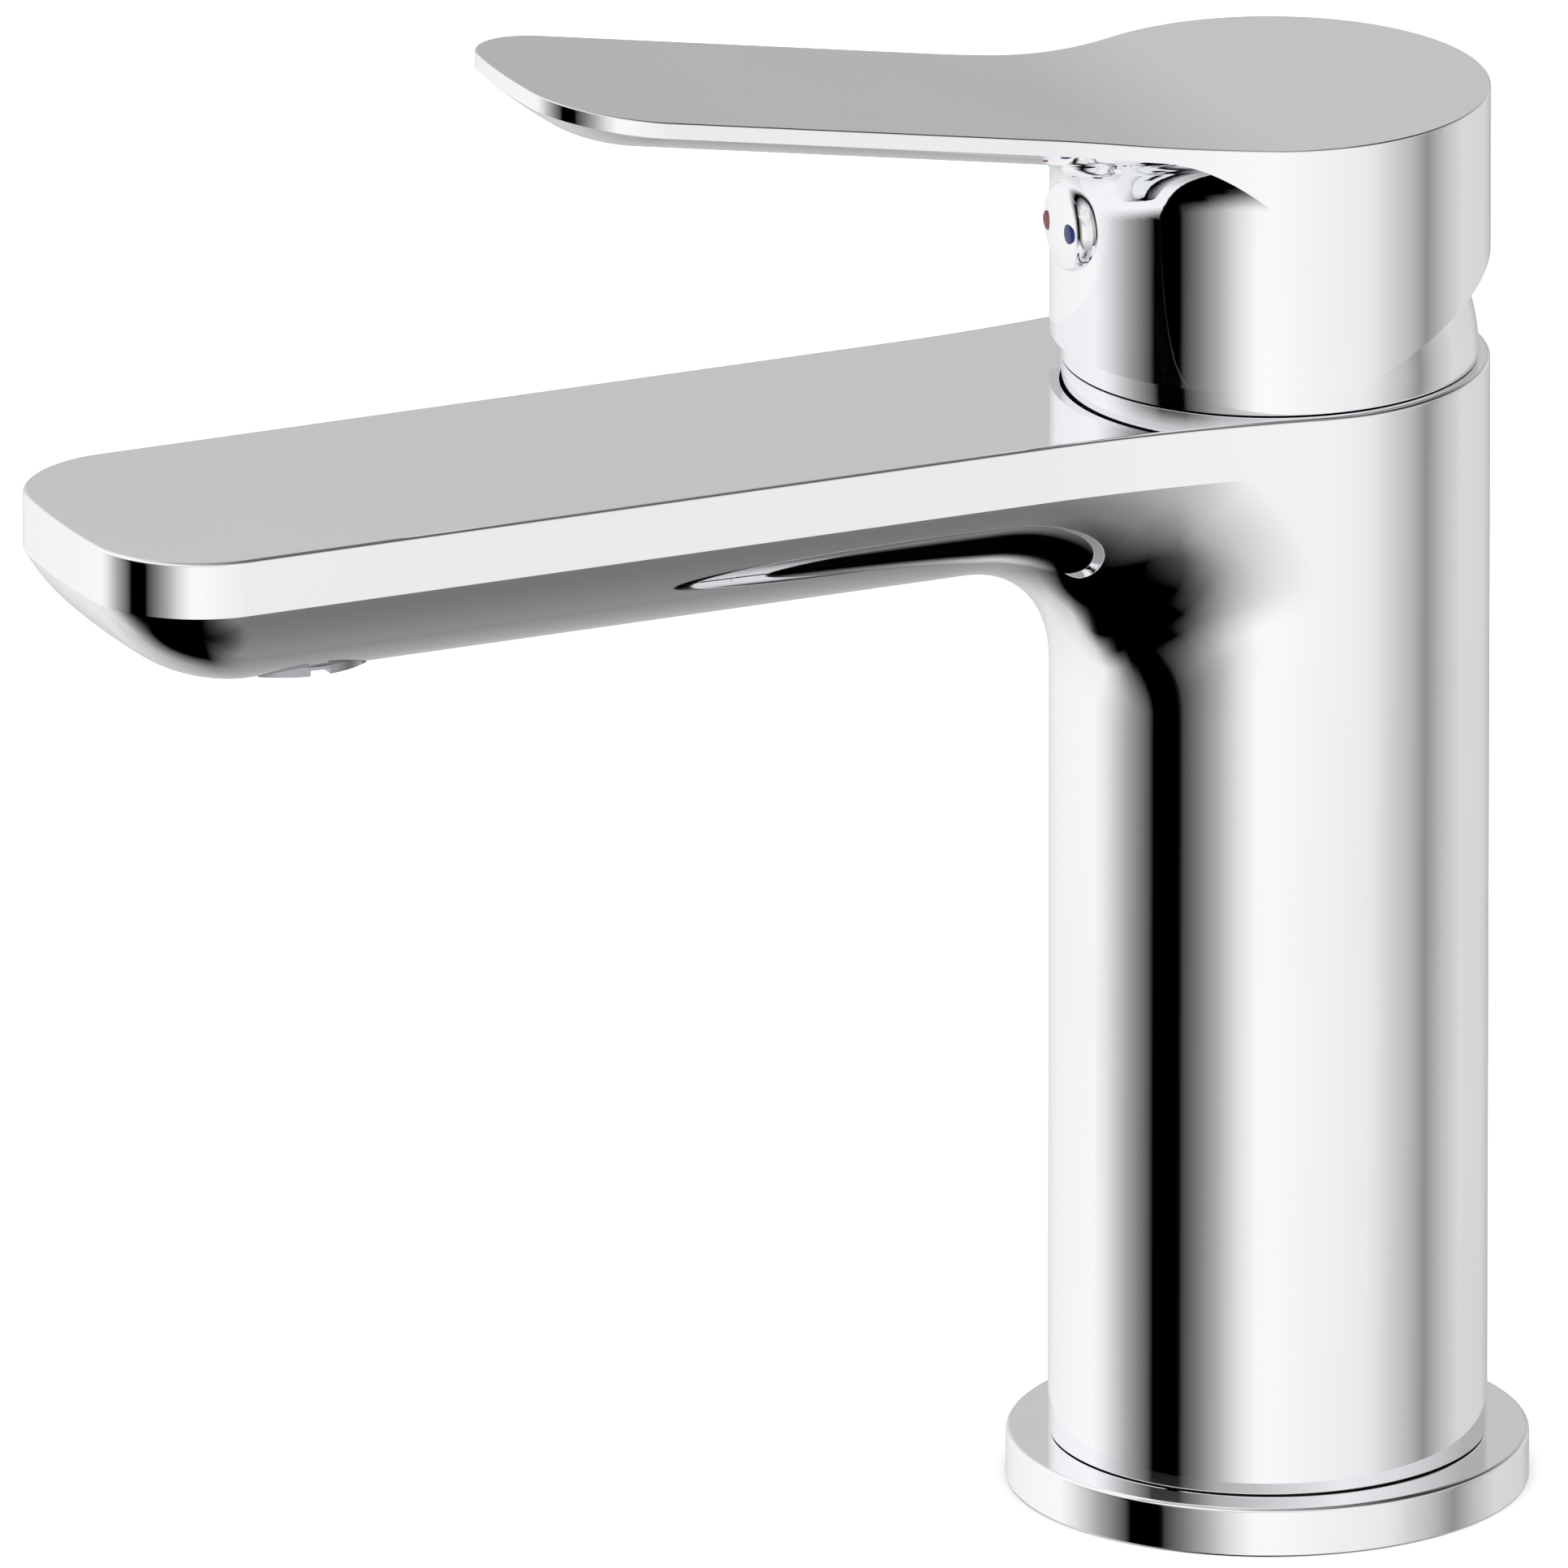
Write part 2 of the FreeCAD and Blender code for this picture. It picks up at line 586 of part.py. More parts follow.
def build_rotor():
    body = new_body("cartridge_rotor")
    low = size("seat_up") + size("base_high") + size("disc_high") + size("valve_high") + 4.85
    roof = size("shoulder_up") - 2.0
    round_pad(body, "foot_disc", low, roof - low, size("rotor_rad"))
    round_pad(body, "neck", roof, size("neck_top") - roof, size("neck_rad"))
    lug = new_sketch(body, "lug_plan", "XY_Plane", size("shoulder_up") + 6.3)
    add_box_loop(lug, -2.6, 2.6, -13.2, -size("neck_rad") + 1.0)
    pad(body, "stop_lug", lug, 1.7)
    wide = new_sketch(body, "carrier_slot_plan", "XY_Plane", low)
    add_box_loop(wide, -5.7, 5.7, -9.3, 9.3)
    pocket(body, "carrier_slot", wide, 8.7, up=True)
    narrow = new_sketch(body, "stem_slot_plan", "XY_Plane", low)
    add_box_loop(narrow, -4.4, 4.4, -6.0, 6.0)
    pocket(body, "stem_slot", narrow, size("neck_top") - low + 1.0, up=True)
    hole = new_sketch(body, "pin_hole_circle", "YZ_Plane", 0.0)
    add_circle(hole, 0.0, TOP, size("pin_rad"))
    pocket(body, "pin_hole", hole, 30.0, both=True)

    pin = new_body("pivot_pin")
    bar = new_sketch(pin, "pin_circle", "YZ_Plane", 0.0)
    add_circle(bar, 0.0, TOP, size("pin_rad"))
    pad(pin, "pin_bar", bar, 19.0, both=True)


def build_valve():
    """The carrier and the moving ceramic disc, standing in the closed position."""
    low = size("seat_up") + size("base_high") + size("disc_high") + size("film")
    plate = low + size("valve_high")
    disc = new_body("moving_ceramic_disc")
    round_pad(disc, "disc", low, size("valve_high"), size("valve_rad"))
    round_pocket(disc, "mixing_hollow", low, 2.0, 7.5, [(0.0, 0.5)], up=True)
    carrier = new_body("disc_carrier")
    round_pad(carrier, "plate", plate, 4.5, size("valve_rad"))
    round_pad(carrier, "boss", plate, 12.85, 5.2)
    round_pocket(carrier, "ball_socket", plate + 12.85, 6.9, size("socket_rad"), [(0.0, 0.0)])
    for body in (disc, carrier):
        bind(body, "Placement.Base.y", size("valve_off"))


def build_stem():
    """Modelled upright about its pivot, then leaned towards the spout."""
    body = new_body("cartridge_stem")
    half = size("stem_half")
    square = new_sketch(body, "square_plan", "XY_Plane", 0.0)
    add_box_loop(square, -half, half, -half, half)
    pad(body, "square_bar", square, 24.0)
    eye = new_sketch(body, "eye_circle", "YZ_Plane", 0.0)
    add_circle(eye, 0.0, 0.0, 4.2)
    pad(body, "pivot_eye", eye, 8.0, both=True)
    round_pad(body, "lower_bar", -size("stem_arm"), size("stem_arm"), 2.2)
    ball = body.newObject("PartDesign::AdditiveSphere", "ball")
    bind(ball, "Radius", size("ball_rad"))
    ball.AttachmentSupport = (origin_plane(body, "XY_Plane"), "")
    ball.MapMode = "FlatFace"
    bind(ball, "AttachmentOffset.Base.z", -size("stem_arm"))
    doc.recompute()
    hole = new_sketch(body, "eye_hole_circle", "YZ_Plane", 0.0)
    add_circle(hole, 0.0, 0.0, size("pin_rad") + size("pin_gap"))
    pocket(body, "eye_hole", hole, 12.0, both=True)
    lean = FreeCAD.Rotation(FreeCAD.Vector(1, 0, 0), number(size("stem_tilt")))
    body.Placement = FreeCAD.Placement(FreeCAD.Vector(0, 0, TOP.value), lean)
    bind(body, "Placement.Base.z", TOP)
    bind(body, "Placement.Rotation.Angle", size("stem_tilt"))
    return body


def lever_outline(sketch):
    """Everything outside the handle's plan, as a frame round the plan."""
    half, tip, corner = size("lever_half"), size("lever_tip"), size("lever_corner")
    flare = size("lever_flare")
    bend = (half * half + flare * flare - COLUMN * COLUMN) / ((COLUMN - half) * 2.0)
    reach = COLUMN / (COLUMN + bend)
    meet_x, meet_y = (half + bend) * reach, -(flare * reach)
    nose_rad = half * 4.0
    inner = nose_rad - corner
    lift = root_of(inner * inner - (half - corner) * (half - corner))
    front_x = (half - corner) * nose_rad / inner
    centre_y = -(tip - nose_rad)
    corner_y, front_y = centre_y - lift, centre_y - lift * nose_rad / inner
    far = 120.0
    add_loop(sketch, [(-far, -far), (far, -far), (far, far), (-far, far)])
    add_loop(sketch, [
        (-meet_x, far * 0.5), (-meet_x, meet_y, bend, "left"),
        (-half, -flare), (-half, corner_y, corner, "right"),
        (-front_x, front_y, nose_rad, "right"), (front_x, front_y, corner, "right"),
        (half, corner_y), (half, -flare, bend, "left"),
        (meet_x, meet_y), (meet_x, far * 0.5)])


def build_handle():
    body = new_body("handle")
    top, tip, bend_at = size("handle_top"), size("lever_tip") + 1.0, size("lever_bend")
    rise, thick = size("lever_rise"), size("lever_thick")
    blend = 6.0
    side = new_sketch(body, "lever_side", "YZ_Plane", 0.0)
    add_loop(side, [
        (0.0, top), (0.0, top - thick), (-bend_at, top - thick),
        (-tip, top - thick + (tip - bend_at) * rise), (-tip, top + (tip - bend_at) * rise),
        (-(bend_at + blend), top + rise * blend, 68.2, "right"), (-(bend_at - blend), top)])
    pad(body, "lever_slab", side, COLUMN * 2.0, both=True)
    plan = new_sketch(body, "lever_plan", "XY_Plane", top + 30.0)
    lever_outline(plan)
    slab = pocket(body, "lever_trim", plan, 60.0)

    def under_rim(edge, middle):
        on_slope = top.value - thick.value + (-middle.y - bend_at.value) * rise.value
        return middle.y < -30.0 and abs(middle.z - on_slope) < 0.05

    dress(body, "Fillet", "lever_under_rounding", slab, under_rim, 1.9)
    round_pad(body, "drum", TOP, top - TOP, COLUMN)

    skirt = TOP + size("handle_gap")
    far = COLUMN + 3.0
    cut = new_sketch(body, "skirt_side", "YZ_Plane", 0.0)
    add_loop(cut, [(-far, TOP - 1.0), (far, TOP - 1.0), (far, skirt + far * size("skirt_rise")),
                   (0.0, skirt), (-far, skirt)])
    pocket(body, "skirt_cut", cut, COLUMN * 2.2, both=True)
    hollow, high = size("hollow_rad"), size("hollow_high")
    low = 4.0
    turned(body, "Groove", "hollow", [
        (0.0, TOP - low), (root_of(hollow * hollow - low * low), TOP - low, hollow, "right"),
        (root_of(hollow * hollow - high * high), TOP + high), (0.0, TOP + high)])

    # a leaning post with a square socket takes the stem
    lean = size("stem_tilt").value
    reach = 12.6
    post = leaning_sketch(body, "post_circle", reach, lean)
    add_circle(post, 0.0, 0.0, 9.0)
    pad(body, "post", post, 8.5)
    socket = leaning_sketch(body, "socket_plan", reach - 1.0, lean)
    side_half = size("stem_half") + size("film")
    add_box_loop(socket, -side_half, side_half, -side_half, side_half)
    pocket(body, "socket", socket, 13.5, up=True)

    # plug seat, plug tail bore and set screw hole from the front
    for name, radius, inner in (("plug_seat_bore", size("plug_rad") + 0.1, size("plug_seat")),
                                ("plug_tail_bore", size("plug_rad") - 1.6, size("plug_seat") - 3.2),
                                ("set_screw_bore", size("screw_rad"), 5.0)):
        front = new_sketch(body, name + "_circle", "XZ_Plane", COLUMN + 1.0)
        add_circle(front, 0.0, size("plug_up"), radius)
        pocket(body, name, front, COLUMN + 1.0 - inner)
    return body


def leaning_sketch(body, name, distance, lean):
    """A sketch square to the stem, the given distance from the lift pivot."""
    sketch = new_sketch(body, name, "XY_Plane", 0.0, lean)
    angle = math.radians(lean)
    place = FreeCAD.Vector(0, -distance * math.sin(angle), TOP.value + distance * math.cos(angle))
    sketch.AttachmentOffset = FreeCAD.Placement(place, FreeCAD.Rotation(FreeCAD.Vector(1, 0, 0), lean))
    bind(sketch, "AttachmentOffset.Base.y", size("stem_arm") * 0.0 - distance * math.sin(angle))
    bind(sketch, "AttachmentOffset.Base.z", TOP + distance * math.cos(angle))
    return sketch


def face_forwards(body, distance, height):
    """Turn a body modelled along +Z so that it points along -Y."""
    turn = FreeCAD.Rotation(FreeCAD.Vector(1, 0, 0), 90.0)
    body.Placement = FreeCAD.Placement(FreeCAD.Vector(0, -number(distance), number(height)), turn)
    bind(body, "Placement.Base.y", -distance)
    bind(body, "Placement.Base.z", height)


def build_plug():
    rad, dome, high = size("plug_rad"), size("plug_dome"), size("plug_high")
    rim = high - dome + root_of(dome * dome - rad * rad)
    plug = new_body("index_plug")
    face = turned(plug, "Revolution", "plug_shape", [
        (0.0, -3.0), (rad - 1.7, -3.0), (rad - 1.7, 0.0), (rad, 0.0), (rad, rim, dome, "right"), (0.0, high)])

    def rim_edge(edge, middle):
        return abs(math.hypot(middle.x, middle.y) - rad.value) < 0.01 and middle.z > 1.0

    dress(plug, "Fillet", "plug_rounding", face, rim_edge, 0.4)
    dots = [(-size("dot_side"), 0.0), (size("dot_side"), 0.0)]
    round_pocket(plug, "dot_seats", high, 0.8, size("dot_rad"), dots)
    face_forwards(plug, size("plug_seat"), size("plug_up"))
    for name, side in (("hot_dot", -1.0), ("cold_dot", 1.0)):
        dot = new_body(name)
        round_pad(dot, "dot", high - 0.8, 0.64, size("dot_rad"), size("dot_side") * side, 0.0)
        face_forwards(dot, size("plug_seat"), size("plug_up"))

    screw = new_body("handle_set_screw")
    round_pad(screw, "screw_bar", 0.0, 10.4, size("screw_rad"))
    hexagon = new_sketch(screw, "hexagon_plan", "XY_Plane", 10.4)
    corner = 1.44
    turns = [math.radians(60 * k) for k in range(6)]
    add_loop(hexagon, [(corner * math.cos(turn), corner * math.sin(turn)) for turn in turns])
    pocket(screw, "hexagon", hexagon, 3.0)
    face_forwards(screw, size("plug_seat") - 13.8, size("plug_up"))


build_body_casting()
build_base()
build_cartridge()
build_cover_ring()
build_aerator()
build_rotor()
build_valve()
build_stem()
build_handle()
build_plug()
doc.recompute()

NODES = [
    "body_casting", "base_flange", "base_gasket", "column_seal", "cartridge_base", "port_seals",
    "fixed_ceramic_disc", "cartridge_housing", "hot_limit_ring", "cartridge_nut", "dome_ring", "dome_o_ring",
    "aerator_housing", "aerator_insert", "aerator_screen", "aerator_washer", "cartridge_rotor", "pivot_pin",
    "moving_ceramic_disc", "disc_carrier", "cartridge_stem", "handle", "handle_set_screw", "index_plug",
    "hot_dot", "cold_dot"]

for item in doc.Objects:
    for bad in ("Invalid", "Error"):
        if bad in item.State:
            raise RuntimeError("%s is %s" % (item.Name, bad))

for name in NODES:
    shape = doc.getObjectsByLabel(name)[0].Shape
    if shape.isNull() or not shape.isValid() or shape.Volume <= 0:
        raise RuntimeError("%s has no sound shape" % name)
    shape.exportStep("parts/%s.step" % name)
    box = shape.BoundBox
    print("%-22s %10.1f  x %7.2f %7.2f  y %8.2f %7.2f  z %7.2f %7.2f  solids %d" % (
        name, shape.Volume, box.XMin, box.XMax, box.YMin, box.YMax, box.ZMin, box.ZMax, len(shape.Solids)))
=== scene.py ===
import math
import bmesh
import bpy
import numpy as np
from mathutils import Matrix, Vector


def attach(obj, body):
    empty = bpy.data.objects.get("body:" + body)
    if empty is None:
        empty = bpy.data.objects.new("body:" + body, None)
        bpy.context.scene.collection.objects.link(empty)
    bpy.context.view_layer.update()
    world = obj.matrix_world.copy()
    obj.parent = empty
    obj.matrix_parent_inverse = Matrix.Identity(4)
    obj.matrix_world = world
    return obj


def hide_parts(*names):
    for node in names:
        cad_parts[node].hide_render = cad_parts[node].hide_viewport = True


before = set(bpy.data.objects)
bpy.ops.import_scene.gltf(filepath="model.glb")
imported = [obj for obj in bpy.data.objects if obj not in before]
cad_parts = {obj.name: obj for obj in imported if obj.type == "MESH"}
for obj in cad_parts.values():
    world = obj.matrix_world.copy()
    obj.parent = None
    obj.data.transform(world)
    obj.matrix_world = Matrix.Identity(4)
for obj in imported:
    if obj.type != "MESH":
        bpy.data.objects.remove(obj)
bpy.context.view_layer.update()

MM = 0.001
QUARTER = 0.5 * math.pi

# ------------------------------------------------------------------ sizes, in millimetres
TOP = 123.4            # flat top of column and spout, and height of the lift pivot
FOOT = 5.36            # lower end of the column
COLUMN = 23.0          # radius of column and handle
BREAK = 0.5            # rounding of visible edges
FOOT_BREAK = 0.15      # rounding of the column's lower edge
NUDGE = 0.1            # how far inside its face a corner's normal is taken

SPOUT = dict(half=19.5, tip=138.0, nose=22.0, corner=11.0, front=97.5, flare=35.0, band=6.05, drop=12.4)
LEVER = dict(half=16.2, tip=87.6, nose=12.0, corner=9.5, front=61.0, flare=32.0, band=1.75, drop=4.2)
ROOT_BEND = 15.5       # inside radius of the bend from the spout's underside into the column
SIDE_MIDDLE = 6.0      # half width of the bend's middle, which turns like a pipe
SIDE_SPREAD = 14.0     # width over which the middle passes into the sides
SIDE_LATE = 1.1        # turn of the bend, in radians, from which the sides turn like a pipe too
SIDE_START = 0.3       # turn of the bend, in radians, at which its sides start to close in on the column
SIDE_DEPTH = 27.0      # height over which they do so
NECK_FILLET = 7.0      # between the lever's underside and the drum

AERATOR_OUT = 112.6    # distance of the aerator in front of the axis
AERATOR_BORE = 9.0     # radius of its bore
AERATOR_ROOF = 115.9   # ceiling of its bore
SPOT_FACE = 107.4      # height of the flat round the aerator
SPOT_RAD = 10.2        # radius of that flat

NUT_BORE = 19.0        # radius of the bore for the cartridge nut and the cover ring
SHOULDER = 114.0       # lower end of that bore
POCKET = 18.5          # radius of the cartridge pocket and of the open foot
SEAT = 84.0            # floor of the pocket
FOOT_ROOF = 62.0       # ceiling of the open foot
ROUND = 128            # sides of a bore

DRUM_TOP = 152.8       # flat top of the handle
SKIRT = 2.9            # gap below the handle's skirt
SKIRT_SLOPE = 0.42     # slope of the skirt's rear cut
HOLLOW = 22.15         # sphere radius of the handle's hollow
HOLLOW_HIGH = 17.2     # its ceiling above the pivot
LEVER_BEND = 16.1      # where the lever starts to rise
LEVER_SLOPE = 0.17723  # rise of the lever for its length
LEVER_BLEND = 9.0      # half length of the smooth change of slope
HANDLE_BREAK = 0.25    # rounding of the handle's top edge

BODY_NET = dict(step=0.8, snap=0.4)      # grid of a skin, and reach within which a crease draws points in
HANDLE_NET = dict(step=0.5, snap=0.28)
FINE = 0.01            # step for exact slopes
ON_SKIN = 0.05         # a point nearer than this to a surface counts as on it
TINY = 1e-3            # slack in comparing heights, and least slope to divide by
SPECK = 1e-9           # least length to divide by
WELD = 1e-5            # a point nearer than this to a cutting plane counts as on it


# ------------------------------------------------------------------ shapes as distance fields

def length(*parts):
    return np.sqrt(sum(part * part for part in parts))


def flare_radius(s):
    """Radius of the arc in which a spout or lever widens to the column's circle."""
    half, flare = s["half"], s["flare"]
    return (half * half + flare * flare - COLUMN * COLUMN) / (2.0 * (COLUMN - half))


def half_width(y, s):
    """Half width of a spout or lever at y: straight, then flaring."""
    bend = flare_radius(s)
    along = np.clip(s["flare"] + y, 0.0, s["flare"])
    return s["half"] + bend - np.sqrt(np.maximum(bend * bend - along * along, 1.0))


def meeting(s):
    """Distance in front of the axis at which the flare meets the circle."""
    return s["flare"] * COLUMN / (COLUMN + flare_radius(s))


def plan_ratio(x, y, s):
    """1 on the plan outline, 0 on the centre line, following scaled copies of the outline."""
    half, nose, corner = s["half"], s["nose"], s["corner"]
    across = np.abs(x) * half / half_width(y, s)
    ahead = np.maximum(nose - s["tip"] - y + x * x / (2.0 * s["front"]), 0.0)
    square = np.maximum(across / half, ahead / nose)
    reach = (half - corner) ** 2 + (nose - corner) ** 2 - corner ** 2
    along = across * (half - corner) + ahead * (nose - corner)
    inner = np.maximum(along * along - (across * across + ahead * ahead) * reach, 0.0)
    rounded = (along - np.sqrt(inner)) / reach
    in_corner = (across > square * (half - corner)) & (ahead > square * (nose - corner))
    front = np.where(in_corner, rounded, square)
    return np.where(y > -meeting(s), length(x, y) / COLUMN, front)


def slope_of(level, x, y, z, step=0.02):
    gx = (level(x + step, y, z) - level(x - step, y, z)) / (2.0 * step)
    gy = (level(x, y + step, z) - level(x, y - step, z)) / (2.0 * step)
    gz = (level(x, y, z + step) - level(x, y, z - step)) / (2.0 * step)
    return gx, gy, gz


def wall_part(x, y, z, s):
    """Distance from the upright side wall."""
    gx, gy, _ = slope_of(lambda a, b, c: plan_ratio(a, b, s), x, y, z)
    return (plan_ratio(x, y, s) - 1.0) / np.maximum(length(gx, gy), TINY)


def ball_joined(arm, column, agree, radius):
    """Union of two distances, rounded by a ball that touches both.

    agree is the cosine between their normals.
    """
    u, v = radius - arm, radius - column
    turn = np.clip(agree, -0.5, 0.995)
    ball = np.sqrt(np.maximum(u * u + v * v - 2.0 * turn * u * v, 0.0) / (1.0 - turn * turn))
    touching = (u > turn * v) & (v > turn * u) & (u > 0.0) & (v > 0.0)
    return np.where(touching, radius - ball, np.minimum(arm, column))


def lower_part(x, y, z, top, s, radius):
    """Distance from the arched underside joined to the column with a rounding."""
    half, drop = s["half"], s["drop"]
    arc = (half * half + drop * drop) / (2.0 * drop)

    def under(a, b, c):
        sink = np.maximum(top(b) - c - s["band"] + arc - drop, 0.0)
        return length(plan_ratio(a, b, s) * half, sink) - arc

    gx, gy, gz = slope_of(under, x, y, z)
    steep = np.maximum(length(gx, gy, gz), TINY)
    arm = under(x, y, z) / steep
    away = np.maximum(length(x, y), TINY)
    agree = (gx * x + gy * y) / (steep * away)
    return ball_joined(arm, away - COLUMN, agree, radius)


def handle_top(y):
    """Height of the handle's top surface: flat drum, then a straight slope, smoothly joined."""
    s = np.clip((-y - LEVER_BEND + LEVER_BLEND) / (2.0 * LEVER_BLEND), 0.0, None)
    inside = LEVER_SLOPE * LEVER_BLEND * s * s
    straight = LEVER_SLOPE * (-y - LEVER_BEND)
    return DRUM_TOP + np.where(s < 1.0, inside, straight)


def eased(value):
    """0 below 0, 1 above 1, smooth between."""
    share = np.clip(value, 0.0, 1.0)
    return share * share * (3.0 - 2.0 * share)


def elbow_part(x, y, z, s):
    """Distance from the arched underside, which bends down into the column and loses its side edges there."""
    half, drop, edge = s["half"], s["drop"], TOP - s["band"]
    back, low = -COLUMN - ROOT_BEND, edge - drop - ROOT_BEND
    full_turn = math.acos((drop + ROOT_BEND) / (COLUMN + ROOT_BEND))

    def under(a, b, c):
        ahead = np.maximum(b - back, 0.0)
        above = np.maximum(c - low, 0.0)
        turn = np.arctan2(ahead, above + SPECK)
        # the arch deepens so that its side edge stays level, until it is as deep as the column
        reach = np.minimum((drop + ROOT_BEND) / np.maximum(np.cos(turn), 0.1), COLUMN + ROOT_BEND)
        deep = reach - ROOT_BEND
        wide = half + (COLUMN - half) * eased(turn / full_turn)
        rad = (wide * wide + deep * deep) / (2.0 * deep)
        out = np.where(b < back, c - low, length(ahead, above))
        # towards the column the middle turns like a pipe and the sides close in on the round
        side = eased((np.abs(a) - SIDE_MIDDLE) / SIDE_SPREAD)
        late = eased((turn - SIDE_LATE) / (QUARTER - SIDE_LATE))
        piped = eased(turn / QUARTER) * (1.0 - side + side * late)
        across = plan_ratio(a, b, s) * wide * (1.0 - piped) + np.abs(a) * piped
        arch = length(across, np.maximum(ROOT_BEND + rad - out, 0.0)) - rad
        lowered = eased((edge - c) / SIDE_DEPTH)
        share = eased((turn - SIDE_START) / (QUARTER - SIDE_START)) * lowered * side
        return arch * (1.0 - share) + (length(a, b) - COLUMN) * share

    gx, gy, gz = slope_of(under, x, y, z)
    return under(x, y, z) / np.maximum(length(gx, gy, gz), 0.2)


def spout_parts(x, y, z):
    return wall_part(x, y, z, SPOUT), elbow_part(x, y, z, SPOUT)


def handle_parts(x, y, z):
    return wall_part(x, y, z, LEVER), lower_part(x, y, z, handle_top, LEVER, NECK_FILLET)


def spout_field(x, y, z):
    return np.maximum(*spout_parts(x, y, z))


def handle_field(x, y, z):
    return np.maximum(*handle_parts(x, y, z))


def snap_creases(parts, points, near):
    """Moves points close to both surfaces of a pair onto their common edge."""
    close = np.ones(len(points), dtype=bool)
    for value in parts(*points.T):
        close &= np.abs(value) < near
    moved = points[close]
    for _ in range(6):
        x, y, z = moved.T
        values = parts(x, y, z)
        slopes = []
        for k in (0, 1):
            grad = slope_of(lambda a, b, c, k=k: parts(a, b, c)[k], x, y, z, FINE)
            slopes.append(np.stack(grad, axis=1))
        cross = (slopes[0] * slopes[1]).sum(axis=1)
        size = [(g * g).sum(axis=1) for g in slopes]
        det = np.maximum(size[0] * size[1] - cross * cross, TINY)
        first = (values[0] * size[1] - values[1] * cross) / det
        second = (values[1] * size[0] - values[0] * cross) / det
        step = first[:, None] * slopes[0] + second[:, None] * slopes[1]
        far = np.maximum(np.linalg.norm(step, axis=1, keepdims=True), SPECK)
        moved = moved - step * np.minimum(1.0, near / far)
    good = np.linalg.norm(moved - points[close], axis=1) < 2.0 * near
    places = points.copy()
    places[np.flatnonzero(close)[good]] = moved[good]
    return places


def unit(vectors):
    return vectors / np.maximum(np.linalg.norm(vectors, axis=1, keepdims=True), SPECK)


def field_normals(field, points):
    return unit(np.stack(slope_of(field, *points.T, FINE), axis=1))


def settle(field, points, rounds=6, flat=None):
    """Moves points onto the surface.  Those marked flat keep their height."""
    for _ in range(rounds):
        x, y, z = points.T
        value = field(x, y, z)
        grad = np.stack(slope_of(field, x, y, z, FINE), axis=1)
        if flat is not None:
            grad[flat, 2] = 0.0
        size = np.maximum((grad * grad).sum(axis=1), 0.05)
        points = points - grad * (np.clip(value, -1.0, 1.0) / size)[:, None]
    return points


def surface_net(field, low, high, step):
    """Quads round the zero level of a field inside a box."""
    axes = [np.arange(a, b + step, step) for a, b in zip(low, high)]
    grid = np.meshgrid(*axes, indexing="ij")
    value = field(*grid)
    inside = value < 0.0
    count = [len(a) - 1 for a in axes]
    filled = np.zeros(count, dtype=int)
    for dx in (0, 1):
        for dy in (0, 1):
            for dz in (0, 1):
                filled += inside[dx:dx + count[0], dy:dy + count[1], dz:dz + count[2]]
    mixed = (filled > 0) & (filled < 8)
    index = np.full(count, -1)
    index[mixed] = np.arange(mixed.sum())
    cells = np.argwhere(mixed)
    points = np.stack([axes[k][cells[:, k]] + 0.5 * step for k in range(3)], axis=1)
    quads = []
    for k in range(3):
        here = [slice(None)] * 3
        there = [slice(None)] * 3
        here[k] = slice(0, -1)
        there[k] = slice(1, None)
        change = inside[tuple(here)] != inside[tuple(there)]
        a, b = (k + 1) % 3, (k + 2) % 3
        edges = np.argwhere(change)
        keep = np.ones(len(edges), dtype=bool)
        for other in (a, b):
            keep &= (edges[:, other] > 0) & (edges[:, other] < len(axes[other]) - 1)
        edges = edges[keep]
        corners = []
        for back_a, back_b in ((1, 1), (0, 1), (0, 0), (1, 0)):
            cell = edges.copy()
            cell[:, a] -= back_a
            cell[:, b] -= back_b
            corners.append(index[tuple(cell.T)])
        faces = np.stack(corners, axis=1)
        outward = inside[tuple(edges.T)]
        faces[~outward] = faces[~outward][:, ::-1]
        quads.append(faces)
    faces = np.concatenate(quads)
    return points, faces[(faces >= 0).all(axis=1)]


# ------------------------------------------------------------------ mesh helpers

def ordered_loop(bm, edges):
    """Vertices of one closed chain of edges, in order."""
    links = {}
    for edge in edges:
        for vert in edge.verts:
            links.setdefault(vert, []).append(edge)
    start = edges[0].verts[0]
    chain, edge = [start], links[start][0]
    while True:
        after = edge.other_vert(chain[-1])
        if after is start:
            return chain
        chain.append(after)
        pair = links[after]
        edge = pair[0] if pair[1] is edge else pair[1]


def strip(bm, first, second):
    """Quads between two loops of the same length."""
    count = len(first)
    for k in range(count):
        m = (k + 1) % count
        bm.faces.new((first[k], first[m], second[m], second[k]))


def add_loop(bm, points):
    return [bm.verts.new(p) for p in points]


def circle(radius, height, count, centre=(0.0, 0.0)):
    turn = np.arange(count) * 2.0 * math.pi / count
    return np.stack([centre[0] + radius * np.cos(turn), centre[1] + radius * np.sin(turn),
                     np.full(count, height)], axis=1)


def fill_between(bm, loops):
    """Flat faces bounded by the given closed loops."""
    edges = []
    for loop in loops:
        for k, vert in enumerate(loop):
            edges.append(bm.edges.get((vert, loop[(k + 1) % len(loop)])) or
                         bm.edges.new((vert, loop[(k + 1) % len(loop)])))
    made = bmesh.ops.triangle_fill(bm, edges=edges, use_beauty=True, use_dissolve=False)
    return [item for item in made["geom"] if isinstance(item, bmesh.types.BMFace)]


